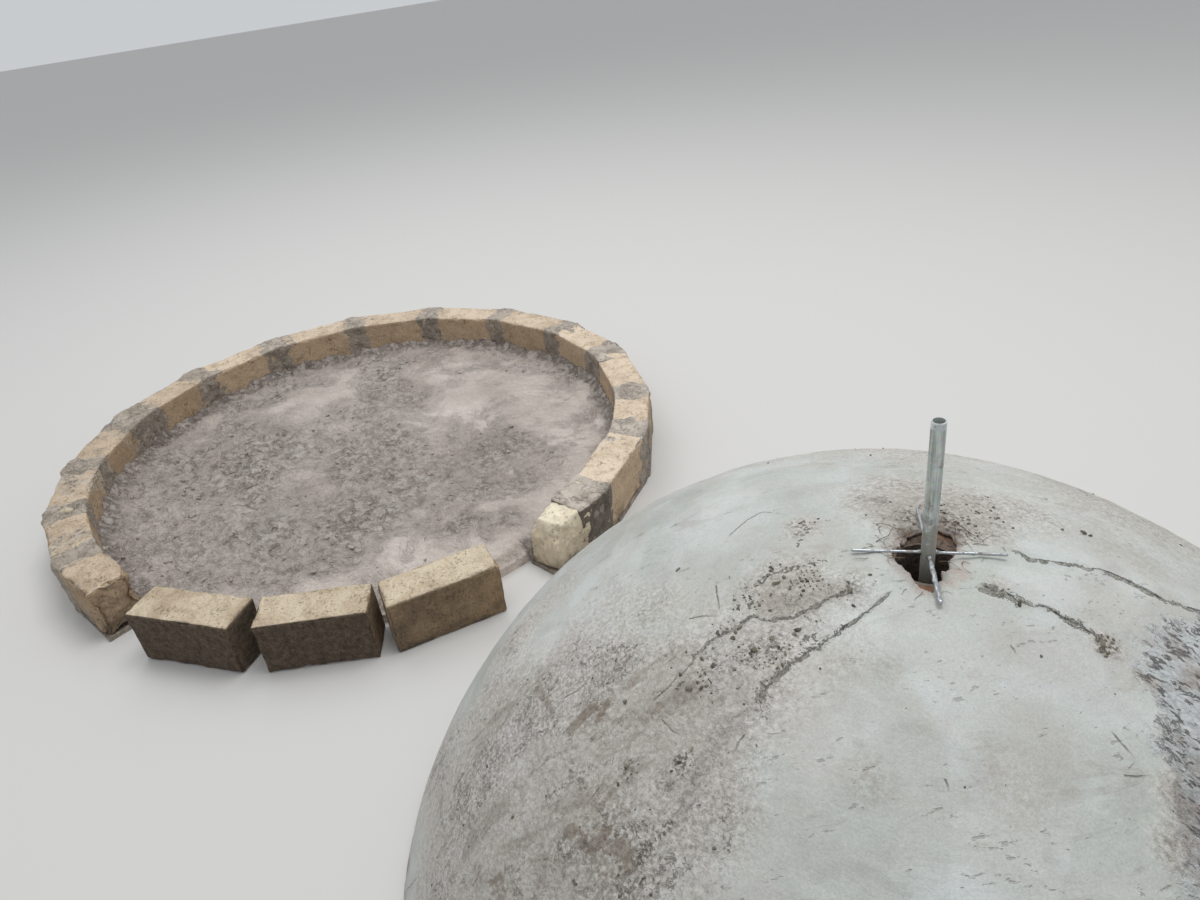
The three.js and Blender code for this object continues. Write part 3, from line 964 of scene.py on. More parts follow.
def ring_faces(angles):
    """Radius of the ring's outer and inner faces at each angle: on a stone the face's distance
    over the cosine of the angle from its middle, and in a joint a straight run between stones."""
    radii = []
    for inset in (0.0, STONE_DEPTH):
        at, radius = [], []
        for span in RING:
            middle, half_length, face = stone_seat(span)
            turn = np.linspace(-1, 1, 9) * math.atan2(half_length, face - inset)
            at.append(middle + turn)
            radius.append((face - inset) / np.cos(turn))
        radii.append(np.interp(angles, np.concatenate(at), np.concatenate(radius)))
    return radii


def joint_mortar(number, first, last, spill):
    """Mortar in one joint and smeared over the stones beside it: a worn block bent along the
    ring, proud in the joint and sinking into the stones with distance, lumpy by noise."""
    first, last = np.radians([first, last])
    gap = (last - first) / 2 * RING_OUTER
    half = np.array([STONE_DEPTH / 2, gap + spill, STONE_TOP / 2])
    points, way, faces = worn_block(half, MORTAR_CELL, 0.008, 60 + number)
    own = points + np.array([0, 3.1 * number, 0])
    held = 1 - np.clip((np.abs(points[:, 1]) - gap) / spill, 0, 1)
    proud = 0.0085 * held - 0.006 + 0.0055 * layered(own, 0.05, number)
    proud = proud + 0.0016 * layered(own, 0.018, number + 9, 2)
    proud = proud - 0.004 * smooth(held, 0.98, 1.0) * noise(own, 0.04, number + 30)
    angle = (first + last) / 2 + (points[:, 1] + way[:, 1] * proud) / RING_OUTER
    outer, inner = ring_faces(angle)
    share = (points[:, 0] + STONE_DEPTH / 2) / STONE_DEPTH
    radius = inner + share * (outer - inner) + way[:, 0] * proud
    height = np.maximum(points[:, 2] + STONE_TOP / 2 + way[:, 2] * proud, 0)
    placed = RING_CENTRE + turned(angle, radius, height)
    soiled = 0.2 + 0.4 * (number > 4) + 0.4 * (number > 9)
    marks = {"facing_up": way[:, 2], "wet": 1.0 if number == 1 else 0.2, "soiled": soiled}
    make_piece(f"joint_mortar_{number:02d}", placed, faces, JOINT, marks=marks)


# Mortar smeared on the stones of the right, back and left run, and how dull they are
RUN_SPREAD, RUN_DULL = (0.36, 0.9, 1.05), (0.0, 0.3, 0.75)
# Mud, partly painted shade, at both ends of each dry stone, and how far each joint's mortar goes
# over its stones
DRY_MUD = [(1.15, 0.85), (0.8, 0.5), (0.3, 0.2)]
SPILLS = [0.05, 0.085, 0.07, 0.06, 0.08, 0.06, 0.07, 0.06, 0.08, 0.07, 0.095, 0.06, 0.075, 0.05]
# Mesh cells in metres, cells along a side of the broken stone, and how sharp its edges are
STONE_CELL, MORTAR_CELL, BROKEN_CELLS, EDGE_POWER = 0.0085, 0.0075, 40, 44
DRY_CLEARANCE = 0.0003
broken_stone()
for place, stone_span in enumerate(RING[1:], 1):
    run = (place > 4) + (place > 9)
    hewn_stone(
        f"chamber_stone_{place:02d}", stone_span, STONE_BOTTOM, STONE_TOP, HEWN,
        place, broken_end=place == len(RING) - 1, spread=RUN_SPREAD[run], dull=RUN_DULL[run],
    )
for place, (stone_span, stone_mud) in enumerate(zip(DRY_RUN, DRY_MUD), 1):
    hewn_stone(
        f"dry_stone_{place}", stone_span, dry_low.z, dry_high.z, DRY, 20 + place,
        face=FLOOR_RADIUS + DRY_CLEARANCE + STONE_DEPTH, spread=0.35, mud=stone_mud,
    )
for place, (before, after, stone_spill) in enumerate(zip(RING[:-1], RING[1:], SPILLS), 1):
    joint_mortar(place, before[1], after[0], stone_spill)
for bed in ("mortar_right", "mortar_back", "mortar_left"):
    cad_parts[bed].material_slots[0].material = JOINT


def joint_pebble():
    """A pale pebble caught in the joint between the third and fourth stones of the left run: a
    squashed ball, its radius moved by noise."""
    rows, columns = 18, 28
    polar = np.linspace(0, np.pi, rows)[1:-1, None]
    ball = turned(circle(columns), np.sin(polar), np.cos(polar)).reshape(-1, 3)
    x, y, z = (ball * (1 + 0.18 * noise(ball, 0.9, 46))[:, None] * np.array(PEBBLE_HALF)).T
    middle = math.radians((LEFT_RUN[2][1] + LEFT_RUN[3][0]) / 2)
    points = on_ring(middle, PEBBLE_OUTWARD + x, y, STONE_TOP - PEBBLE_HALF[2] * 0.45 + z)
    faces = [grid_faces(rows - 2, columns), *end_caps(rows - 2, columns)]
    make_piece("pebble_in_joint", points, faces, PEBBLE)


PEBBLE_HALF, PEBBLE_OUTWARD = (0.024, 0.013, 0.011), 1.168
joint_pebble()


# The chamber's floor
def chamber_floor():
    """The floor: a disc of even cells, each place raised by layered noise that is stronger where
    the mortar was torn, coved up the stones and slumped to the ground where there are none."""
    count = 250
    side = np.linspace(-1, 1, count)
    a, b = np.meshgrid(side, side, indexing="ij")
    a, b = a.ravel(), b.ravel()
    wide = np.abs(a) > np.abs(b)
    radius = np.where(wide, np.abs(a), np.abs(b))
    with np.errstate(divide="ignore", invalid="ignore"):
        turn = np.where(
            wide,
            np.pi / 4 * b / a + np.where(a < 0, np.pi, 0),
            np.pi / 2 - np.pi / 4 * a / b + np.where(b < 0, np.pi, 0),
        )
    turn = np.where(radius == 0, 0, turn)
    spread = (turn - math.radians(-30)) % (2 * np.pi) + math.radians(-30)
    in_ring = smooth(spread, *np.radians([-6.5, -4])) * falls(spread, *np.radians([276, 279]))
    edge = np.where(in_ring > 0.5, ring_faces(spread)[1] + 0.003, FLOOR_RADIUS - 0.001)
    outward = radius * edge
    flat = turned(turn, outward)
    smooth_side = smooth(flat[:, 0] * 0.5 + flat[:, 1] * 0.85, 0.1, 0.75)
    rough = 0.7 - 0.5 * smooth_side + 0.6 * noise(flat, 0.33, 5) + 0.3 * noise(flat, 0.13, 51)
    rough = np.clip(rough, 0.05, 1)
    near_edge = edge - outward
    at_wall = in_ring * falls(near_edge, 0.03, 0.1 + 0.05 * noise(flat, 0.12, 52))
    rough = np.maximum(rough, at_wall)
    height = FLOOR_TOP - 0.006 + 0.006 * noise(flat, 0.55, 2)
    height = height + rough * (0.008 * layered(flat, 0.13, 3) + 0.011 * layered(flat, 0.05, 4, 3))
    height = height + 0.0018 * layered(flat * np.array([1.0, 3.2, 1.0]), 0.2, 6)
    cove = 0.028 + 0.018 * layered(flat, 0.1, 8)
    height = height + in_ring * np.maximum(cove, 0.004) * falls(near_edge, 0.0, 0.05) ** 2
    slump = (1 - in_ring) * falls(near_edge, 0.0, 0.05 + 0.02 * noise(flat, 0.1, 9))
    height = height * (1 - 0.55 * slump)
    top = RING_CENTRE + flat
    top[:, 2] += height
    number = np.arange(count * count).reshape(count, count)
    rim = np.concatenate([number[0, :-1], number[:-1, -1], number[-1, :0:-1], number[:0:-1, 0]])
    base = top[rim] * np.array([1.0, 1.0, 0.0])
    middle = len(top) + len(rim)
    points = np.vstack([top, base, RING_CENTRE[None]])
    below = len(top) + np.arange(len(rim))
    walls = np.stack([np.roll(rim, -1), rim, below, np.roll(below, -1)], -1)
    under = np.stack([below, np.full(len(rim), middle), np.roll(below, -1)], -1)
    faces = [grid_faces(count, count, around=False)[:, ::-1], walls[:, ::-1], under]
    marks = {
        "rough": np.concatenate([rough, rough[rim], [0.5]]),
        "at_wall": np.concatenate([at_wall, at_wall[rim], [0]]),
    }
    make_piece("floor_of_chamber", points, faces, FLOOR, ("chamber_floor",), marks)
    return top, rough


floor_top, floor_rough = chamber_floor()

# Marks on the plaster; each place is measured in the photograph, in pixels across and down
# Laps between two coats: the line, how torn it is to both sides, how thick its crack is
LAPS = [
    ([(1008, 547), (1031, 560), (1062, 564), (1096, 571), (1118, 578), (1137, 587), (1164, 601),
      (1198, 612), (1260, 640)], 0.36, 0.65),
    ([(980, 582), (985, 587), (1004, 593), (1021, 604), (1045, 608), (1062, 617), (1082, 628),
      (1101, 639), (1106, 645)], 0.68, 0.75),
    ([(820, 646), (833, 637), (846, 627), (867, 612), (880, 601), (892, 590)], 0.16, 1.0),
    ([(757, 701), (764, 687), (782, 673), (803, 656), (822, 645)], 0.42, 0.3),
    ([(684, 666), (698, 654), (711, 644), (732, 630), (754, 616), (764, 621), (793, 618),
      (807, 613), (828, 600), (855, 592)], 0.3, 0.3),
    ([(652, 701), (668, 688), (684, 672), (700, 655), (714, 641)], 0.12, 0.35),
]
# A fold of the coat, and scratches: lines
FOLD = [(800, 884), (820, 875), (845, 868), (868, 870), (888, 884), (905, 892), (925, 896)]
SCRATCHES = [
    [(1111, 730), (1122, 742), (1131, 752), (1140, 764)], [(1123, 775), (1138, 776), (1154, 775)],
    [(450, 796), (467, 768), (488, 735)], [(478, 842), (487, 830), (498, 816)],
    [(589, 801), (601, 786), (609, 771)],
    [(727, 539), (747, 520), (762, 512), (778, 513), (798, 519)],
    [(1008, 640), (1014, 648), (1019, 657)], [(944, 775), (948, 784), (950, 794)],
    [(560, 700), (578, 690), (600, 668)], [(404, 895), (418, 876), (430, 862)],
    [(498, 731), (508, 716), (517, 704)], [(747, 730), (738, 744), (731, 758)],
    [(686, 620), (704, 617), (722, 618)], [(716, 584), (718, 600), (722, 620)],
    [(470, 890), (480, 872), (486, 858)], [(660, 717), (672, 731), (687, 738)],
]
# Soft stripes, smears of earth and dents, the dents painted dark as their shade: lines, how far
# they reach in metres, how strong
STRIPES = [
    ([(737, 716), (722, 735), (708, 752), (697, 775), (688, 800), (680, 815)], 0.02, 1.0),
    ([(884, 660), (892, 676)], 0.012, 0.7), ([(745, 591), (722, 640)], 0.02, 0.4),
]
SMEARS = [
    ([(570, 730), (582, 717), (593, 707)], 0.024, 1.0),
    ([(595, 724), (602, 713), (608, 700)], 0.014, 0.95), ([(591, 740), (604, 730)], 0.014, 0.8),
    ([(600, 836), (618, 846), (628, 862)], 0.04, 0.8), ([(570, 830), (596, 850)], 0.03, 0.7),
    ([(489, 884), (499, 876)], 0.012, 1.0), ([(536, 688), (546, 700), (552, 714)], 0.022, 0.7),
    ([(1180, 740), (1192, 780), (1196, 830)], 0.05, 0.8),
]
DENTED = [
    ([(846, 627), (825, 643), (803, 653), (782, 673), (764, 687), (757, 701)], 0.016, 0.7),
    ([(751, 608), (753, 590), (770, 576), (800, 568), (825, 561)], 0.014, 0.75),
    ([(768, 651), (790, 647), (818, 637)], 0.018, 0.7),
    ([(803, 522), (808, 532), (797, 546)], 0.01, 0.9),
    ([(711, 644), (732, 630), (754, 616), (764, 621), (793, 618), (828, 600), (853, 593)],
     0.007, 0.75),
    ([(640, 862), (652, 840), (668, 826)], 0.02, 0.8),
]
# Spots with a reach in metres and a strength: clots, brown earth, crumbled plaster, mud; the clots
# are painted dark as the shade of dents, and the spots at the back of the hole darken it as painted
# shade
CLOTS = [
    (626, 768, 0.02, 1.0), (680, 762, 0.026, 1.0), (671, 772, 0.016, 0.9), (690, 756, 0.014, 0.8),
    (625, 702, 0.011, 1.0), (545, 703, 0.009, 1.0), (728, 657, 0.01, 1.0), (712, 650, 0.011, 1.0),
    (705, 655, 0.009, 0.9), (713, 667, 0.01, 1.0), (723, 634, 0.01, 0.9), (799, 632, 0.009, 1.0),
    (740, 613, 0.008, 0.9), (730, 578, 0.014, 0.7), (718, 583, 0.012, 0.6), (782, 668, 0.012, 0.9),
    (800, 658, 0.016, 0.9), (744, 661, 0.012, 0.7), (676, 690, 0.012, 0.8), (682, 684, 0.012, 0.8),
    (843, 594, 0.012, 0.9), (849, 588, 0.01, 0.9), (902, 588, 0.01, 0.8), (893, 525, 0.02, 0.8),
    (905, 518, 0.024, 0.8), (880, 530, 0.02, 0.8), (945, 520, 0.02, 0.8), (957, 530, 0.018, 0.8),
    (1115, 695, 0.009, 1.0), (1132, 692, 0.006, 0.9), (1142, 590, 0.012, 0.7),
    (1083, 534, 0.012, 0.8), (660, 812, 0.024, 0.8), (640, 835, 0.03, 0.7), (700, 806, 0.02, 0.6),
    (1106, 650, 0.016, 1.0), (1098, 640, 0.012, 0.9), (560, 796, 0.02, 0.5), (590, 770, 0.02, 0.5),
    (518, 752, 0.014, 0.5),
]
BROWN = [
    (600, 670, 0.12, 0.8), (985, 515, 0.12, 0.7), (930, 505, 0.16, 0.6), (660, 600, 0.09, 0.4),
    (475, 720, 0.17, 0.75), (445, 800, 0.18, 0.8), (428, 870, 0.18, 0.9), (515, 640, 0.15, 0.6),
    (560, 590, 0.13, 0.45), (716, 671, 0.24, 0.75), (640, 760, 0.272, 0.9), (600, 850, 0.272, 1.0),
    (530, 800, 0.288, 0.85), (500, 720, 0.24, 0.8), (580, 680, 0.224, 0.7), (470, 860, 0.272, 0.8),
    (790, 590, 0.144, 0.75), (905, 500, 0.192, 0.75), (960, 505, 0.16, 0.6), (850, 640, 0.08, 0.3),
    (1040, 520, 0.096, 0.4), (935, 515, 0.13, 0.9), (975, 525, 0.1, 0.8), (905, 515, 0.1, 0.8),
    (1182, 745, 0.06, 0.7), (1190, 800, 0.07, 0.8), (1180, 850, 0.06, 0.7), (560, 960, 0.32, 1.0),
    (680, 820, 0.176, 0.6), (440, 760, 0.2, 0.8), (600, 620, 0.176, 0.45), (660, 740, 0.16, 0.6),
    (740, 660, 0.128, 0.5), (450, 900, 0.24, 0.9),
]
CRUMBLY = [
    (788, 584, 0.104, 1.0), (760, 600, 0.096, 0.8), (716, 671, 0.136, 1.0), (735, 645, 0.096, 0.9),
    (777, 655, 0.064, 0.8), (803, 528, 0.064, 0.8), (624, 768, 0.072, 0.9), (678, 764, 0.056, 1.0),
    (604, 854, 0.16, 1.0), (640, 880, 0.128, 0.9), (560, 790, 0.16, 0.5), (520, 690, 0.096, 0.5),
    (850, 590, 0.08, 0.6), (905, 520, 0.128, 0.6), (995, 505, 0.096, 0.5), (1106, 645, 0.04, 1.0),
    (1000, 585, 0.032, 0.7), (1040, 520, 0.064, 0.4), (935, 520, 0.07, 0.8), (968, 528, 0.06, 0.8),
    (600, 668, 0.12, 0.9), (640, 655, 0.07, 0.6), (990, 515, 0.09, 0.9), (1030, 510, 0.07, 0.6),
]
MUD = [
    (586, 716, 0.05, 1.0), (606, 708, 0.04, 1.0), (603, 800, 0.05, 0.7), (600, 850, 0.16, 0.8),
    (839, 669, 0.06, 0.5), (888, 667, 0.05, 0.5), (868, 780, 0.07, 0.5), (540, 680, 0.06, 0.7),
    (500, 890, 0.05, 1.0), (655, 712, 0.03, 0.8), (1020, 790, 0.1, 0.35), (935, 520, 0.12, 0.7),
]
# The same for the mortar of the rim, recesses beside the hole to be painted dark as their shade,
# and places floated pale
RIM = [(957, 571, 0.036, 1.0), (951, 582, 0.022, 0.8), (964, 560, 0.022, 0.8)]
RECESS_SHADE = [
    (910, 530, 0.034, 1.0), (947, 531, 0.032, 1.0), (957, 540, 0.02, 0.8), (900, 543, 0.02, 0.8),
    (930, 520, 0.03, 0.8),
]
PALE = [
    (720, 530, 0.13, 0.8), (950, 650, 0.12, 0.25), (1060, 590, 0.07, 0.7), (1020, 575, 0.06, 0.7),
    (730, 620, 0.05, 0.7), (700, 635, 0.05, 0.9), (860, 625, 0.06, 0.5), (850, 500, 0.1, 0.4),
]
# Sandy lines, the edge of the band that was left rough, and the hole's outline
SANDY = [
    ([(768, 606), (800, 600), (842, 590)], 0.04, 1.0), ([(775, 588), (815, 578)], 0.03, 0.8),
    ([(636, 706), (650, 700)], 0.02, 0.6),
]
BAND_EDGE = [
    (1250, 585), (1185, 612), (1150, 632), (1131, 648), (1133, 669), (1159, 701), (1167, 725),
    (1157, 747), (1179, 778), (1164, 834), (1179, 851), (1196, 930), (1230, 1040),
]
HOLE_OUTLINE = [
    (889, 551), (901, 561), (911, 571), (919, 580), (926, 585), (935, 587), (940, 579), (943, 567),
    (951, 556), (959, 541), (953, 527), (939, 522), (921, 524), (903, 535),
]
# Distances in metres that stand for no lap or scratch near, and for outside the rough band
FAR, OFF_BAND = 0.3, -0.2
STROKE_COUNT = 340


def lip_radius(azimuth):
    """Radius of the ragged hole at the crown: from point to point of its outline, with noise."""
    outline = on_dome(HOLE_OUTLINE) - DOME_CENTRE
    turn, reach = np.arctan2(outline[:, 1], outline[:, 0]), np.hypot(outline[:, 0], outline[:, 1])
    order = np.argsort(turn)
    radius = np.interp(azimuth, turn[order], reach[order], period=2 * np.pi)
    place = turned(azimuth, 1.0)
    return radius + 0.003 * noise(place, 0.5, 12) + 0.004 * layered(place, 0.16, 13, 3)


def near_lines(points, lines):
    """Softly 1 on each line on the dome, given as pixels and a reach in metres, and 0 beyond."""
    total = np.zeros(len(points))
    for line, reach, strength in lines:
        signed, _ = beside_line(points, on_dome(line))
        total = np.maximum(total, strength * falls(np.abs(signed), 0.2 * reach, reach))
    return total


def float_strokes(points, way):
    """Strokes of the float over the dome: each a bent band with a dished middle and a small ridge
    along one edge. Gives the height that they add, and the last stroke's tone and tint."""
    random = np.random.default_rng(11)
    height, tone, hue = np.zeros((3, len(points)))
    for _ in range(STROKE_COUNT):
        turn = random.uniform(-math.pi, math.pi)
        tip = math.acos(random.uniform(math.cos(FOOT_POLAR), 1))
        out = turned(turn, math.sin(tip), math.cos(tip))
        level = unit(np.cross([0, 0, 1.0], out + np.array([1e-6, 0, 0])))
        lean = random.uniform(-1.5, 1.5)
        along = math.cos(lean) * level + math.sin(lean) * np.cross(out, level)
        across = np.cross(out, along)
        offset = points - DOME_CENTRE - out * DOME_RADIUS
        length, width = random.uniform(0.07, 0.2), random.uniform(0.035, 0.08)
        bend = random.normal(0, 0.8)
        shade, tint = random.uniform(-1, 1, 2)
        near = (np.abs(offset @ along) < length) & (way @ out > 0.7)
        u = (offset[near] @ along) / length
        v = ((offset[near] @ across) - bend * length**2 * u**2) / width
        edge = 0.25 * noise(points[near], 0.05, 14)
        inside = falls(np.abs(v) + edge, 0.74, 0.96) * falls(np.abs(u) + edge, 0.55, 0.95)
        ridge = np.exp(-(((v - 0.92) * width / 0.005) ** 2)) * falls(np.abs(u), 0.3, 0.9)
        height[near] += -0.0006 * inside * (1 - v**2) + 0.001 * ridge
        tone[near] = tone[near] * (1 - inside) + shade * inside
        hue[near] = hue[near] * (1 - inside) + tint * inside
    return height, tone, hue


def plaster_coat():
    """The dome's coat: rings of points from the ragged hole to the foot on the outer sphere,
    moved in and out by undulation, strokes, laps and crumbs, then back up its inner sphere to
    the lip. The rings' points are closest together on the side that the camera faces."""
    columns, outer_rows, inner_rows, lip_rows = 592, 152, 8, 4
    turn = circle(columns)
    azimuth = math.atan2(CAMERA_STAND[1], CAMERA_STAND[0]) + turn - 0.5 * np.sin(turn)
    lip = np.arcsin(lip_radius(azimuth) / DOME_RADIUS)

    share = np.linspace(0, 1, outer_rows)[:, None] ** 1.08
    polar = lip + (FOOT_POLAR - lip) * share
    outer = turned(azimuth, DOME_RADIUS * np.sin(polar), DOME_RADIUS * np.cos(polar))
    outer = outer.reshape(-1, 3) + DOME_CENTRE
    way = unit(outer - DOME_CENTRE)
    from_lip = ((polar - lip) * DOME_RADIUS).ravel()
    from_foot = ((FOOT_POLAR - polar) * DOME_RADIUS).ravel()

    lap, scratch = np.full((2, len(outer)), FAR)
    lap_near, lap_lift, lap_torn, lap_thick, scratch_near = np.zeros((5, len(outer)))
    for line, torn, thick in LAPS:
        signed, along = beside_line(outer, on_dome(line))
        ends = smooth(along, 0.0, 0.05) * falls(along, 0.93, 1.0)
        here = falls(np.abs(signed), 0.02, 0.036) * ends
        closer = here > lap_near
        for kept, values in (lap, signed), (lap_near, here), (lap_torn, torn), (lap_thick, thick):
            np.copyto(kept, values, where=closer)
        ragged = signed + 0.007 * layered(outer, 0.04, 71, 3)
        lift = 0.0055 * (0.4 + 0.6 * torn) * ends * smooth(ragged, -0.003, 0.003)
        lap_lift += lift * falls(signed, 0.01, 0.1)
    signed, along = beside_line(outer, on_dome(FOLD))
    fold_ends = smooth(along, 0.0, 0.25) * falls(along, 0.75, 1.0)
    lift = 0.0028 * fold_ends * smooth(signed, -0.005, 0.005)
    lap_lift += lift * falls(signed, 0.015, 0.12)
    for line in SCRATCHES:
        signed, along = beside_line(outer, on_dome(line))
        here = falls(np.abs(signed), 0.01, 0.018) * smooth(along, 0.0, 0.1)
        here = here * falls(along, 0.35, 1.0)
        closer = here > scratch_near
        for kept, values in (scratch, signed), (scratch_near, here):
            np.copyto(kept, values, where=closer)

    crumbly = np.clip(near_places(outer, CRUMBLY), 0, 1)
    brown = np.clip(near_places(outer, BROWN) * (1 + 0.5 * layered(outer, 0.18, 72)), 0, 1)
    brown = np.maximum(brown, 0.7 * crumbly)
    clots = np.maximum(near_places(outer, CLOTS), near_lines(outer, DENTED))
    pitted, _ = beside_line(outer, on_dome(BAND_EDGE))
    behind = smooth(outer[:, 1], DOME_CENTRE[1] + 0.1, DOME_CENTRE[1] + 0.7)
    brown = brown * (1 - behind) + behind * np.clip(0.5 + 0.6 * layered(outer, 0.5, 73), 0, 1)
    pitted = np.clip(pitted, OFF_BAND, 0.24) * (1 - behind) + OFF_BAND * behind
    pitted = np.minimum(pitted, 0.13 - np.maximum(pitted - 0.13, 0))
    strokes, tone, hue = float_strokes(outer, way)
    closed = 1 - np.clip(crumbly + smooth(pitted, 0, 0.02), 0, 1)
    height = 0.003 * noise(outer, 0.5, 74) + 0.0014 * layered(outer, 0.14, 75)
    height += strokes * (0.35 + 0.65 * closed)
    height += lap_lift + crumbly * (0.0025 * layered(outer, 0.035, 76, 3) + 0.001)
    height += brown * 0.0008 * layered(outer, 0.03, 77, 2)
    height += smooth(pitted, -0.005, 0.015) * (0.0024 * layered(outer, 0.028, 78, 3) - 0.0018)
    lip_sink = 0.009 * np.exp(-((from_lip / 0.013) ** 2))
    height -= lip_sink + 0.0035 * np.exp(-((from_lip / 0.04) ** 2))
    height += 0.004 * np.exp(-((from_lip - 0.028) ** 2) / 0.016**2) * noise(outer, 0.04, 79)
    height *= smooth(from_foot, 0, 0.05) * 0.85 + 0.15
    height -= falls(from_foot, 0, 0.04) * np.maximum(0.004 * layered(outer, 0.06, 80), 0)
    outer = outer + way * height[:, None]
    outer[-columns:, 2] = 0

    inner_share = np.linspace(0, 1, inner_rows)[:, None]
    inner_lip = np.arcsin(np.maximum(lip_radius(azimuth), 0.048) / DOME_RADIUS) * 1.02
    inner_polar = INNER_FOOT_POLAR + (inner_lip - INNER_FOOT_POLAR) * inner_share
    inner_radius = DOME_RADIUS - PLASTER
    inner = turned(azimuth, inner_radius * np.sin(inner_polar), inner_radius * np.cos(inner_polar))
    inner = inner.reshape(-1, 3) + DOME_CENTRE
    inner[:columns, 2] = 0
    first, last = outer[:columns], inner[-columns:]
    lip_share = (np.arange(1, lip_rows + 1) / (lip_rows + 1))[:, None, None]
    towards = -unit((first - DOME_CENTRE) * np.array([1, 1, 0]))
    lumpy = noise(np.tile(first, (lip_rows, 1)), 0.025, 81).reshape(lip_rows, columns, 1)
    bulge = 0.005 * np.sin(np.pi * lip_share) + 0.003 * lumpy
    lips = (last + (first - last) * lip_share + towards * bulge).reshape(-1, 3)
    points = np.vstack([outer, inner, lips])
    rest = len(points) - len(outer)
    lip_dirt = 0.6 * falls(from_lip + 0.012 * noise(outer, 0.05, 82), 0.0, 0.024)
    marks = {
        "lap": lap, "lap_near": lap_near, "lap_torn": lap_torn, "lap_thick": lap_thick,
        "scratch": scratch, "scratch_near": scratch_near, "crumbly": crumbly, "brown": brown,
        "pitted": pitted, "tone": tone, "hue": hue, "clots": clots,
        "mud": near_places(outer, MUD), "recess": near_places(outer, RECESS_SHADE),
        "pale": near_places(outer, PALE), "sandy": near_lines(outer, SANDY),
        "smeared": near_lines(outer, SMEARS), "stripe": near_lines(outer, STRIPES),
        "rim": np.maximum(lip_dirt, near_places(outer, RIM)),
    }
    beneath = {"lap": FAR, "scratch": FAR, "pitted": OFF_BAND, "rim": 1.0, "brown": 0.6}
    for name, values in marks.items():
        marks[name] = np.concatenate([values, np.full(rest, beneath.get(name, 0.0))])
    faces = grid_faces(outer_rows + inner_rows + lip_rows, columns, closed=True)
    make_piece("coat_of_dome", points, faces, COAT, ("plaster_coat",), marks)
    return outer, way, crumbly, brown


coat_points, coat_ways, coat_crumbly, coat_brown = plaster_coat()
for sector in range(1, 9):
    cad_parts[f"dome_masonry_{sector}"].material_slots[0].material = BRICKWORK


# The gas pipe and its rods
def lean_frame():
    """The pipe's own directions as columns: upright, then leaned towards one side."""
    axis = Vector((-math.sin(PIPE_LEAN_TOWARDS), math.cos(PIPE_LEAN_TOWARDS), 0))
    return np.array(Matrix.Rotation(PIPE_LEAN, 3, axis))


PIPE_FOOT = np.array([DOME_CENTRE[0], DOME_CENTRE[1], ROD_HEIGHT])


def gas_pipe():
    """The pipe: a profile turned about its axis, down the outside, round the cut foot, up the
    bore and over the mouth. On the thread the radius also rises and falls once a pitch."""
    columns = 96
    thread = np.linspace(PIPE_ABOVE - 0.0012, PIPE_ABOVE - THREAD_LENGTH, 132)
    shank = np.linspace(PIPE_ABOVE - THREAD_LENGTH - 0.001, -PIPE_BELOW, 60)
    bore = np.linspace(-PIPE_BELOW, PIPE_ABOVE, 40)
    height = np.concatenate([[PIPE_ABOVE], thread, shank, bore])
    radius = np.concatenate([
        [PIPE_RADIUS - 0.0014], np.full(len(thread), PIPE_RADIUS - 0.0001),
        np.full(len(shank), PIPE_RADIUS), np.full(len(bore), PIPE_BORE),
    ])
    h, a = np.meshgrid(height, circle(columns), indexing="ij")
    r = np.broadcast_to(radius[:, None], h.shape).copy()
    cut = smooth(h, PIPE_ABOVE - THREAD_LENGTH, PIPE_ABOVE - THREAD_LENGTH + 0.004)
    on_thread = np.zeros(len(height))
    on_thread[1:1 + len(thread)] = 1
    phase = (h / THREAD_PITCH + a / (2 * np.pi)) % 1
    r -= on_thread[:, None] * cut * THREAD_DEPTH * (1 - np.abs(2 * phase - 1))
    own = turned(a, r, h).reshape(-1, 3)
    points = own @ lean_frame().T + PIPE_FOOT
    # bright cut steel on the thread and the mouth; on the thread brighter on the crests than in the
    # roots, a painted glint and shade
    bright_cut_and_glint = (on_thread[:, None] * cut * (0.35 + 0.65 * np.abs(2 * phase - 1))).ravel()
    bright_cut_and_glint = np.maximum(bright_cut_and_glint, smooth(own[:, 2], PIPE_ABOVE - 0.002, PIPE_ABOVE))
    make_piece(
        "threaded_gas_pipe", points, grid_faces(len(height), columns, closed=True), PIPE,
        ("gas_pipe",), {"own_place": own, "bright_cut_and_glint": bright_cut_and_glint}, sharp=50,
    )


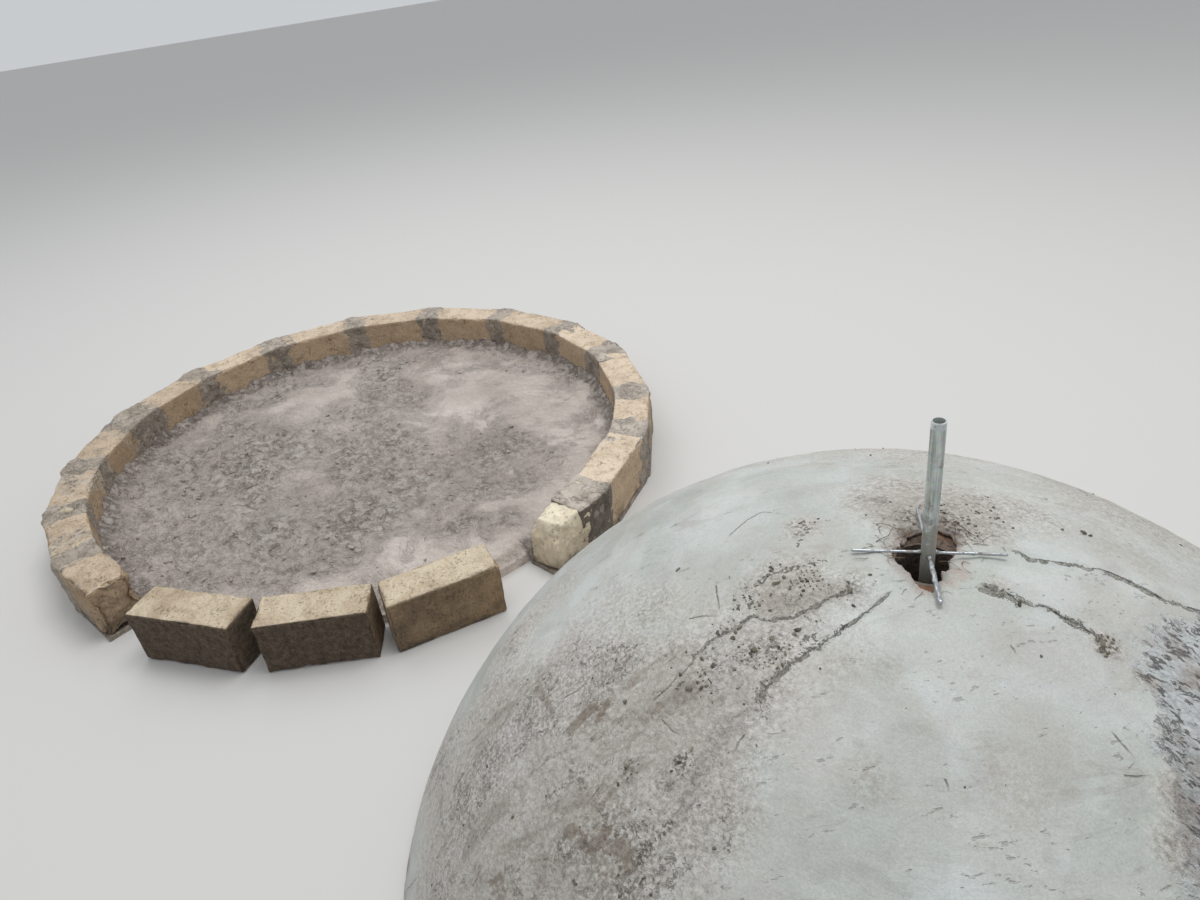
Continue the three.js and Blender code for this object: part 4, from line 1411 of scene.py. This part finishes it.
def anchor_rod(number):
    """A rod: rings carried along a nearly straight line out from the pipe, closed at the sawn
    tip, with a lumpy weld at its root. One is crusted with mortar."""
    direction = FIRST_ROD + number * math.pi / 2
    out = np.array([math.cos(direction), math.sin(direction), 0])
    side = np.array([-out[1], out[0], 0])
    sides, rings = 20, 46
    reach = np.linspace(ROD_ROOT, ROD_REACH - 0.0008, rings)
    reach = np.concatenate([[ROD_ROOT], reach, [ROD_REACH, ROD_REACH]])
    radius = np.concatenate([[0.0005], np.full(rings, ROD_RADIUS), [ROD_RADIUS - 0.0008, 0.0002]])
    d, a = np.meshgrid(reach, circle(sides), indexing="ij")
    place = d[..., None] * out
    lump = np.exp(-(((d - 0.0146) / 0.0046) ** 2))
    skin_place = (place + number + turned(a, 1.0) * 0.01).reshape(-1, 3)
    grain = noise(skin_place, 0.006, 90).reshape(d.shape)
    thick = np.broadcast_to(radius[:, None], d.shape) * (1 + lump * (0.85 + 0.4 * grain))
    if number == CRUSTED_ROD:
        crust = CRUST * (0.8 + 0.5 * grain) * smooth(d, 0.02, 0.035)
        thick = thick + crust * falls(d, ROD_REACH - 0.004, ROD_REACH)
    bow = 0.001 * np.sin(d * 21 + number) * smooth(d, 0.025, 0.1)
    across, up = np.cos(a) * thick, np.sin(a) * thick + bow
    points = PIPE_FOOT + place + across[..., None] * side + up[..., None] * np.array([0, 0, 1.0])
    make_piece(
        f"steel_rod_{number + 1}", points.reshape(-1, 3),
        [grid_faces(len(reach), sides), *end_caps(len(reach), sides)],
        ROD, (f"anchor_rod_{number + 1}",), {"weld": lump.ravel()}, sharp=55,
    )


gas_pipe()
for rod_number in range(4):
    anchor_rod(rod_number)


# Crumbs and roots; a lump's twelve corners and twenty faces
DOME_CRUMBS, FLOOR_CRUMBS = 520, 420
GOLDEN = (1 + math.sqrt(5)) / 2
LUMP_CORNERS = unit(np.array([
    (-1, GOLDEN, 0), (1, GOLDEN, 0), (-1, -GOLDEN, 0), (1, -GOLDEN, 0), (0, -1, GOLDEN),
    (0, 1, GOLDEN), (0, -1, -GOLDEN), (0, 1, -GOLDEN), (GOLDEN, 0, -1), (GOLDEN, 0, 1),
    (-GOLDEN, 0, -1), (-GOLDEN, 0, 1),
], float))
LUMP_FACES = np.array([
    (0, 11, 5), (0, 5, 1), (0, 1, 7), (0, 7, 10), (0, 10, 11), (1, 5, 9), (5, 11, 4), (11, 10, 2),
    (10, 7, 6), (7, 1, 8), (3, 9, 4), (3, 4, 2), (3, 2, 6), (3, 6, 8), (3, 8, 9), (4, 9, 5),
    (2, 4, 11), (6, 2, 10), (8, 6, 7), (9, 8, 1),
])


def lumps(name, places, ways, sizes, finish, seed):
    """Many small lumps as one piece: twelve corners each, drawn in and out at random, flattened
    along the surface's way and sunk a third into it."""
    random = np.random.default_rng(seed)
    count = len(places)
    helper = unit(random.normal(size=(count, 3)))
    first = unit(np.cross(ways, helper))
    second = np.cross(ways, first)
    jitter = random.uniform(0.55, 1.3, (count, len(LUMP_CORNERS), 1))
    shape = [random.uniform(*ends, count) for ends in ((0.8, 1.5), (0.6, 1.0), (0.45, 0.8))]
    spread = sizes[:, None, None] * np.stack(shape, -1)[:, None, :]
    local = LUMP_CORNERS[None] * jitter * spread
    axes = np.stack([first, second, ways], 1)
    points = places[:, None, :] + np.einsum("nij,njk->nik", local, axes)
    points = points + (0.2 * sizes[:, None] * ways)[:, None, :]
    shift = len(LUMP_CORNERS) * np.arange(count)[:, None, None]
    faces = (LUMP_FACES[None] + shift).reshape(-1, 3)
    make_piece(name, points.reshape(-1, 3), faces, finish, sharp=70)


def on_coat(places):
    """The coat's points that are nearest to some pixels of the photograph."""
    spots = on_dome(places)
    return np.array([np.argmin(np.linalg.norm(coat_points - spot, axis=1)) for spot in spots])


def crumbs_on_dome():
    """Crumbs on the plaster: more where it is crumbly, a few larger ones at named places."""
    random = np.random.default_rng(5)
    chance = coat_crumbly**2 + 0.05 * coat_brown + 0.002
    chance *= smooth(layered(coat_points, 0.035, 31, 3), 0.0, 0.4) + 0.03
    chance[coat_points[:, 2] < 0.02] = 0
    chosen = random.choice(len(coat_points), DOME_CRUMBS, replace=False, p=chance / chance.sum())
    sizes = 0.001 + 0.003 * random.random(len(chosen)) ** 2.5
    sizes += 0.0014 * coat_crumbly[chosen] * random.random(len(chosen)) ** 2
    chosen = np.concatenate([chosen, on_coat(LARGE_CRUMBS)])
    sizes = np.concatenate([sizes, random.uniform(0.0038, 0.0075, len(LARGE_CRUMBS))])
    lumps("crumbs_on_dome", coat_points[chosen], coat_ways[chosen], sizes, CRUMB, 6)


LARGE_CRUMBS = [
    (679, 570), (682, 674), (712, 667), (798, 632), (771, 572), (778, 584), (791, 590), (786, 578),
    (782, 668), (848, 592), (797, 634), (700, 660), (688, 690), (756, 650), (770, 641), (846, 584),
    (742, 628), (733, 640), (1019, 604), (1098, 640), (1106, 646), (1101, 650), (1083, 533),
    (1088, 536), (678, 764), (626, 770), (625, 702),
]
crumbs_on_dome()


def crumbs_on_floor():
    """Crumbs and clots of mortar on the chamber's floor."""
    random = np.random.default_rng(15)
    chance = floor_rough**3
    chosen = random.choice(len(floor_top), FLOOR_CRUMBS, replace=False, p=chance / chance.sum())
    sizes = random.uniform(0.003, 0.011, len(chosen))
    up = np.tile([0, 0, 1.0], (len(chosen), 1))
    lumps("crumbs_on_floor", floor_top[chosen], up, sizes, FLOOR_CRUMB, 16)


FLOOR_CRUMB = speck_finish("floor_crumbs", srgb(176, 164, 154), srgb(142, 130, 120))
crumbs_on_floor()


def fibres(name, starts, ways, seed):
    """Fine roots caught in the plaster: thin tubes whose middle line leaves the surface, wanders
    and comes back to it."""
    random = np.random.default_rng(seed)
    count, rings, sides = len(starts), 16, 5
    step = np.linspace(0, 1, rings)
    first = unit(np.cross(ways, unit(random.normal(size=(count, 3)))))
    second = np.cross(ways, first)
    length = random.uniform(0.018, 0.06, (count, 1))
    bend = random.normal(0, 0.35, (count, 1))
    rise = random.uniform(0.02, 0.16, (count, 1))
    along = (step - 0.5) * length
    aside = bend * length * (step - 0.5) ** 2 * 3
    aside = aside + 0.03 * length * np.sin(step * random.uniform(5, 12, (count, 1)))
    above = rise * length * np.sin(np.pi * step) ** 0.8 - 0.0015 + 0.002 * step
    line = starts[:, None] + along[..., None] * first[:, None] + aside[..., None] * second[:, None]
    line = line + above[..., None] * ways[:, None]
    thick = random.uniform(0.0005, 0.0009, (count, 1)) * (1 - 0.6 * step)
    cos, sin = np.cos(circle(sides))[:, None], np.sin(circle(sides))[:, None]
    ring = cos * second[:, None, None] + sin * ways[:, None, None]
    points = line[:, :, None] + thick[..., None, None] * ring
    shift = rings * sides * np.arange(count)[:, None, None]
    faces = (grid_faces(rings, sides)[None] + shift).reshape(-1, 4)
    ends = (np.concatenate(end_caps(rings, sides))[None] + shift).reshape(-1, sides)
    make_piece(name, points.reshape(-1, 3), [faces, ends], ROOT)


ROOT_PLACES = [
    (872, 545), (885, 540), (900, 531), (912, 526), (925, 522), (938, 520), (947, 528), (958, 540),
    (962, 551), (965, 560), (890, 552), (879, 530), (905, 520), (893, 515), (950, 515), (972, 535),
    (980, 545), (960, 566), (945, 590), (918, 596), (905, 590), (860, 560), (1045, 500),
    (1003, 548), (985, 560), (930, 512), (878, 538), (883, 545), (889, 536), (896, 543), (902, 536),
    (897, 528), (908, 533), (913, 530), (886, 528), (945, 533), (952, 531), (958, 534), (964, 540),
    (968, 546), (975, 541), (951, 524), (961, 527), (970, 532), (892, 557), (953, 562), (988, 538),
    (866, 548),
]
root_starts = on_coat(ROOT_PLACES)
fibres("roots_at_crown", coat_points[root_starts], coat_ways[root_starts], 21)


# Stage and light
def stage():
    """A plain pale floor under plain soft light."""
    floor = bpy.data.meshes.new("stage_floor")
    corners = [(-30.0, -30.0, 0), (30.0, -30.0, 0), (30.0, 30.0, 0), (-30.0, 30.0, 0)]
    floor.from_pydata(corners, [], [(0, 1, 2, 3)])
    plane = bpy.data.objects.new("stage_floor", floor)
    material = bpy.data.materials.new("stage_floor")
    material.use_nodes = True
    shader = material.node_tree.nodes["Principled BSDF"].inputs
    shader["Base Color"].default_value = (0.62, 0.61, 0.59, 1)
    shader["Roughness"].default_value = 0.9
    floor.materials.append(material)
    bpy.context.scene.collection.objects.link(plane)
    world = bpy.data.worlds.new("studio")
    bpy.context.scene.world = world
    world.use_nodes = True
    sky = world.node_tree.nodes["Background"].inputs
    sky["Color"].default_value, sky["Strength"].default_value = (0.93, 0.96, 1.0, 1), 0.62
    for name, place, size, power, colour in (
        ("soft_key", (0.8, 1.8, 8.2), 4.0, 300, (1.0, 0.99, 0.97)),
        ("soft_fill", (-4.5, 1.5, 7.0), 5.0, 130, (0.97, 0.98, 1.0)),
    ):
        data = bpy.data.lights.new(name, "AREA")
        data.size, data.energy, data.color = size, power, colour
        lamp = bpy.data.objects.new(name, data)
        lamp.location = place
        towards = Vector((0.3, 0, 0.2)) - Vector(place)
        lamp.rotation_euler = towards.to_track_quat("-Z", "Y").to_euler()
        bpy.context.scene.collection.objects.link(lamp)
    bpy.context.scene.view_settings.view_transform = "Standard"


stage()
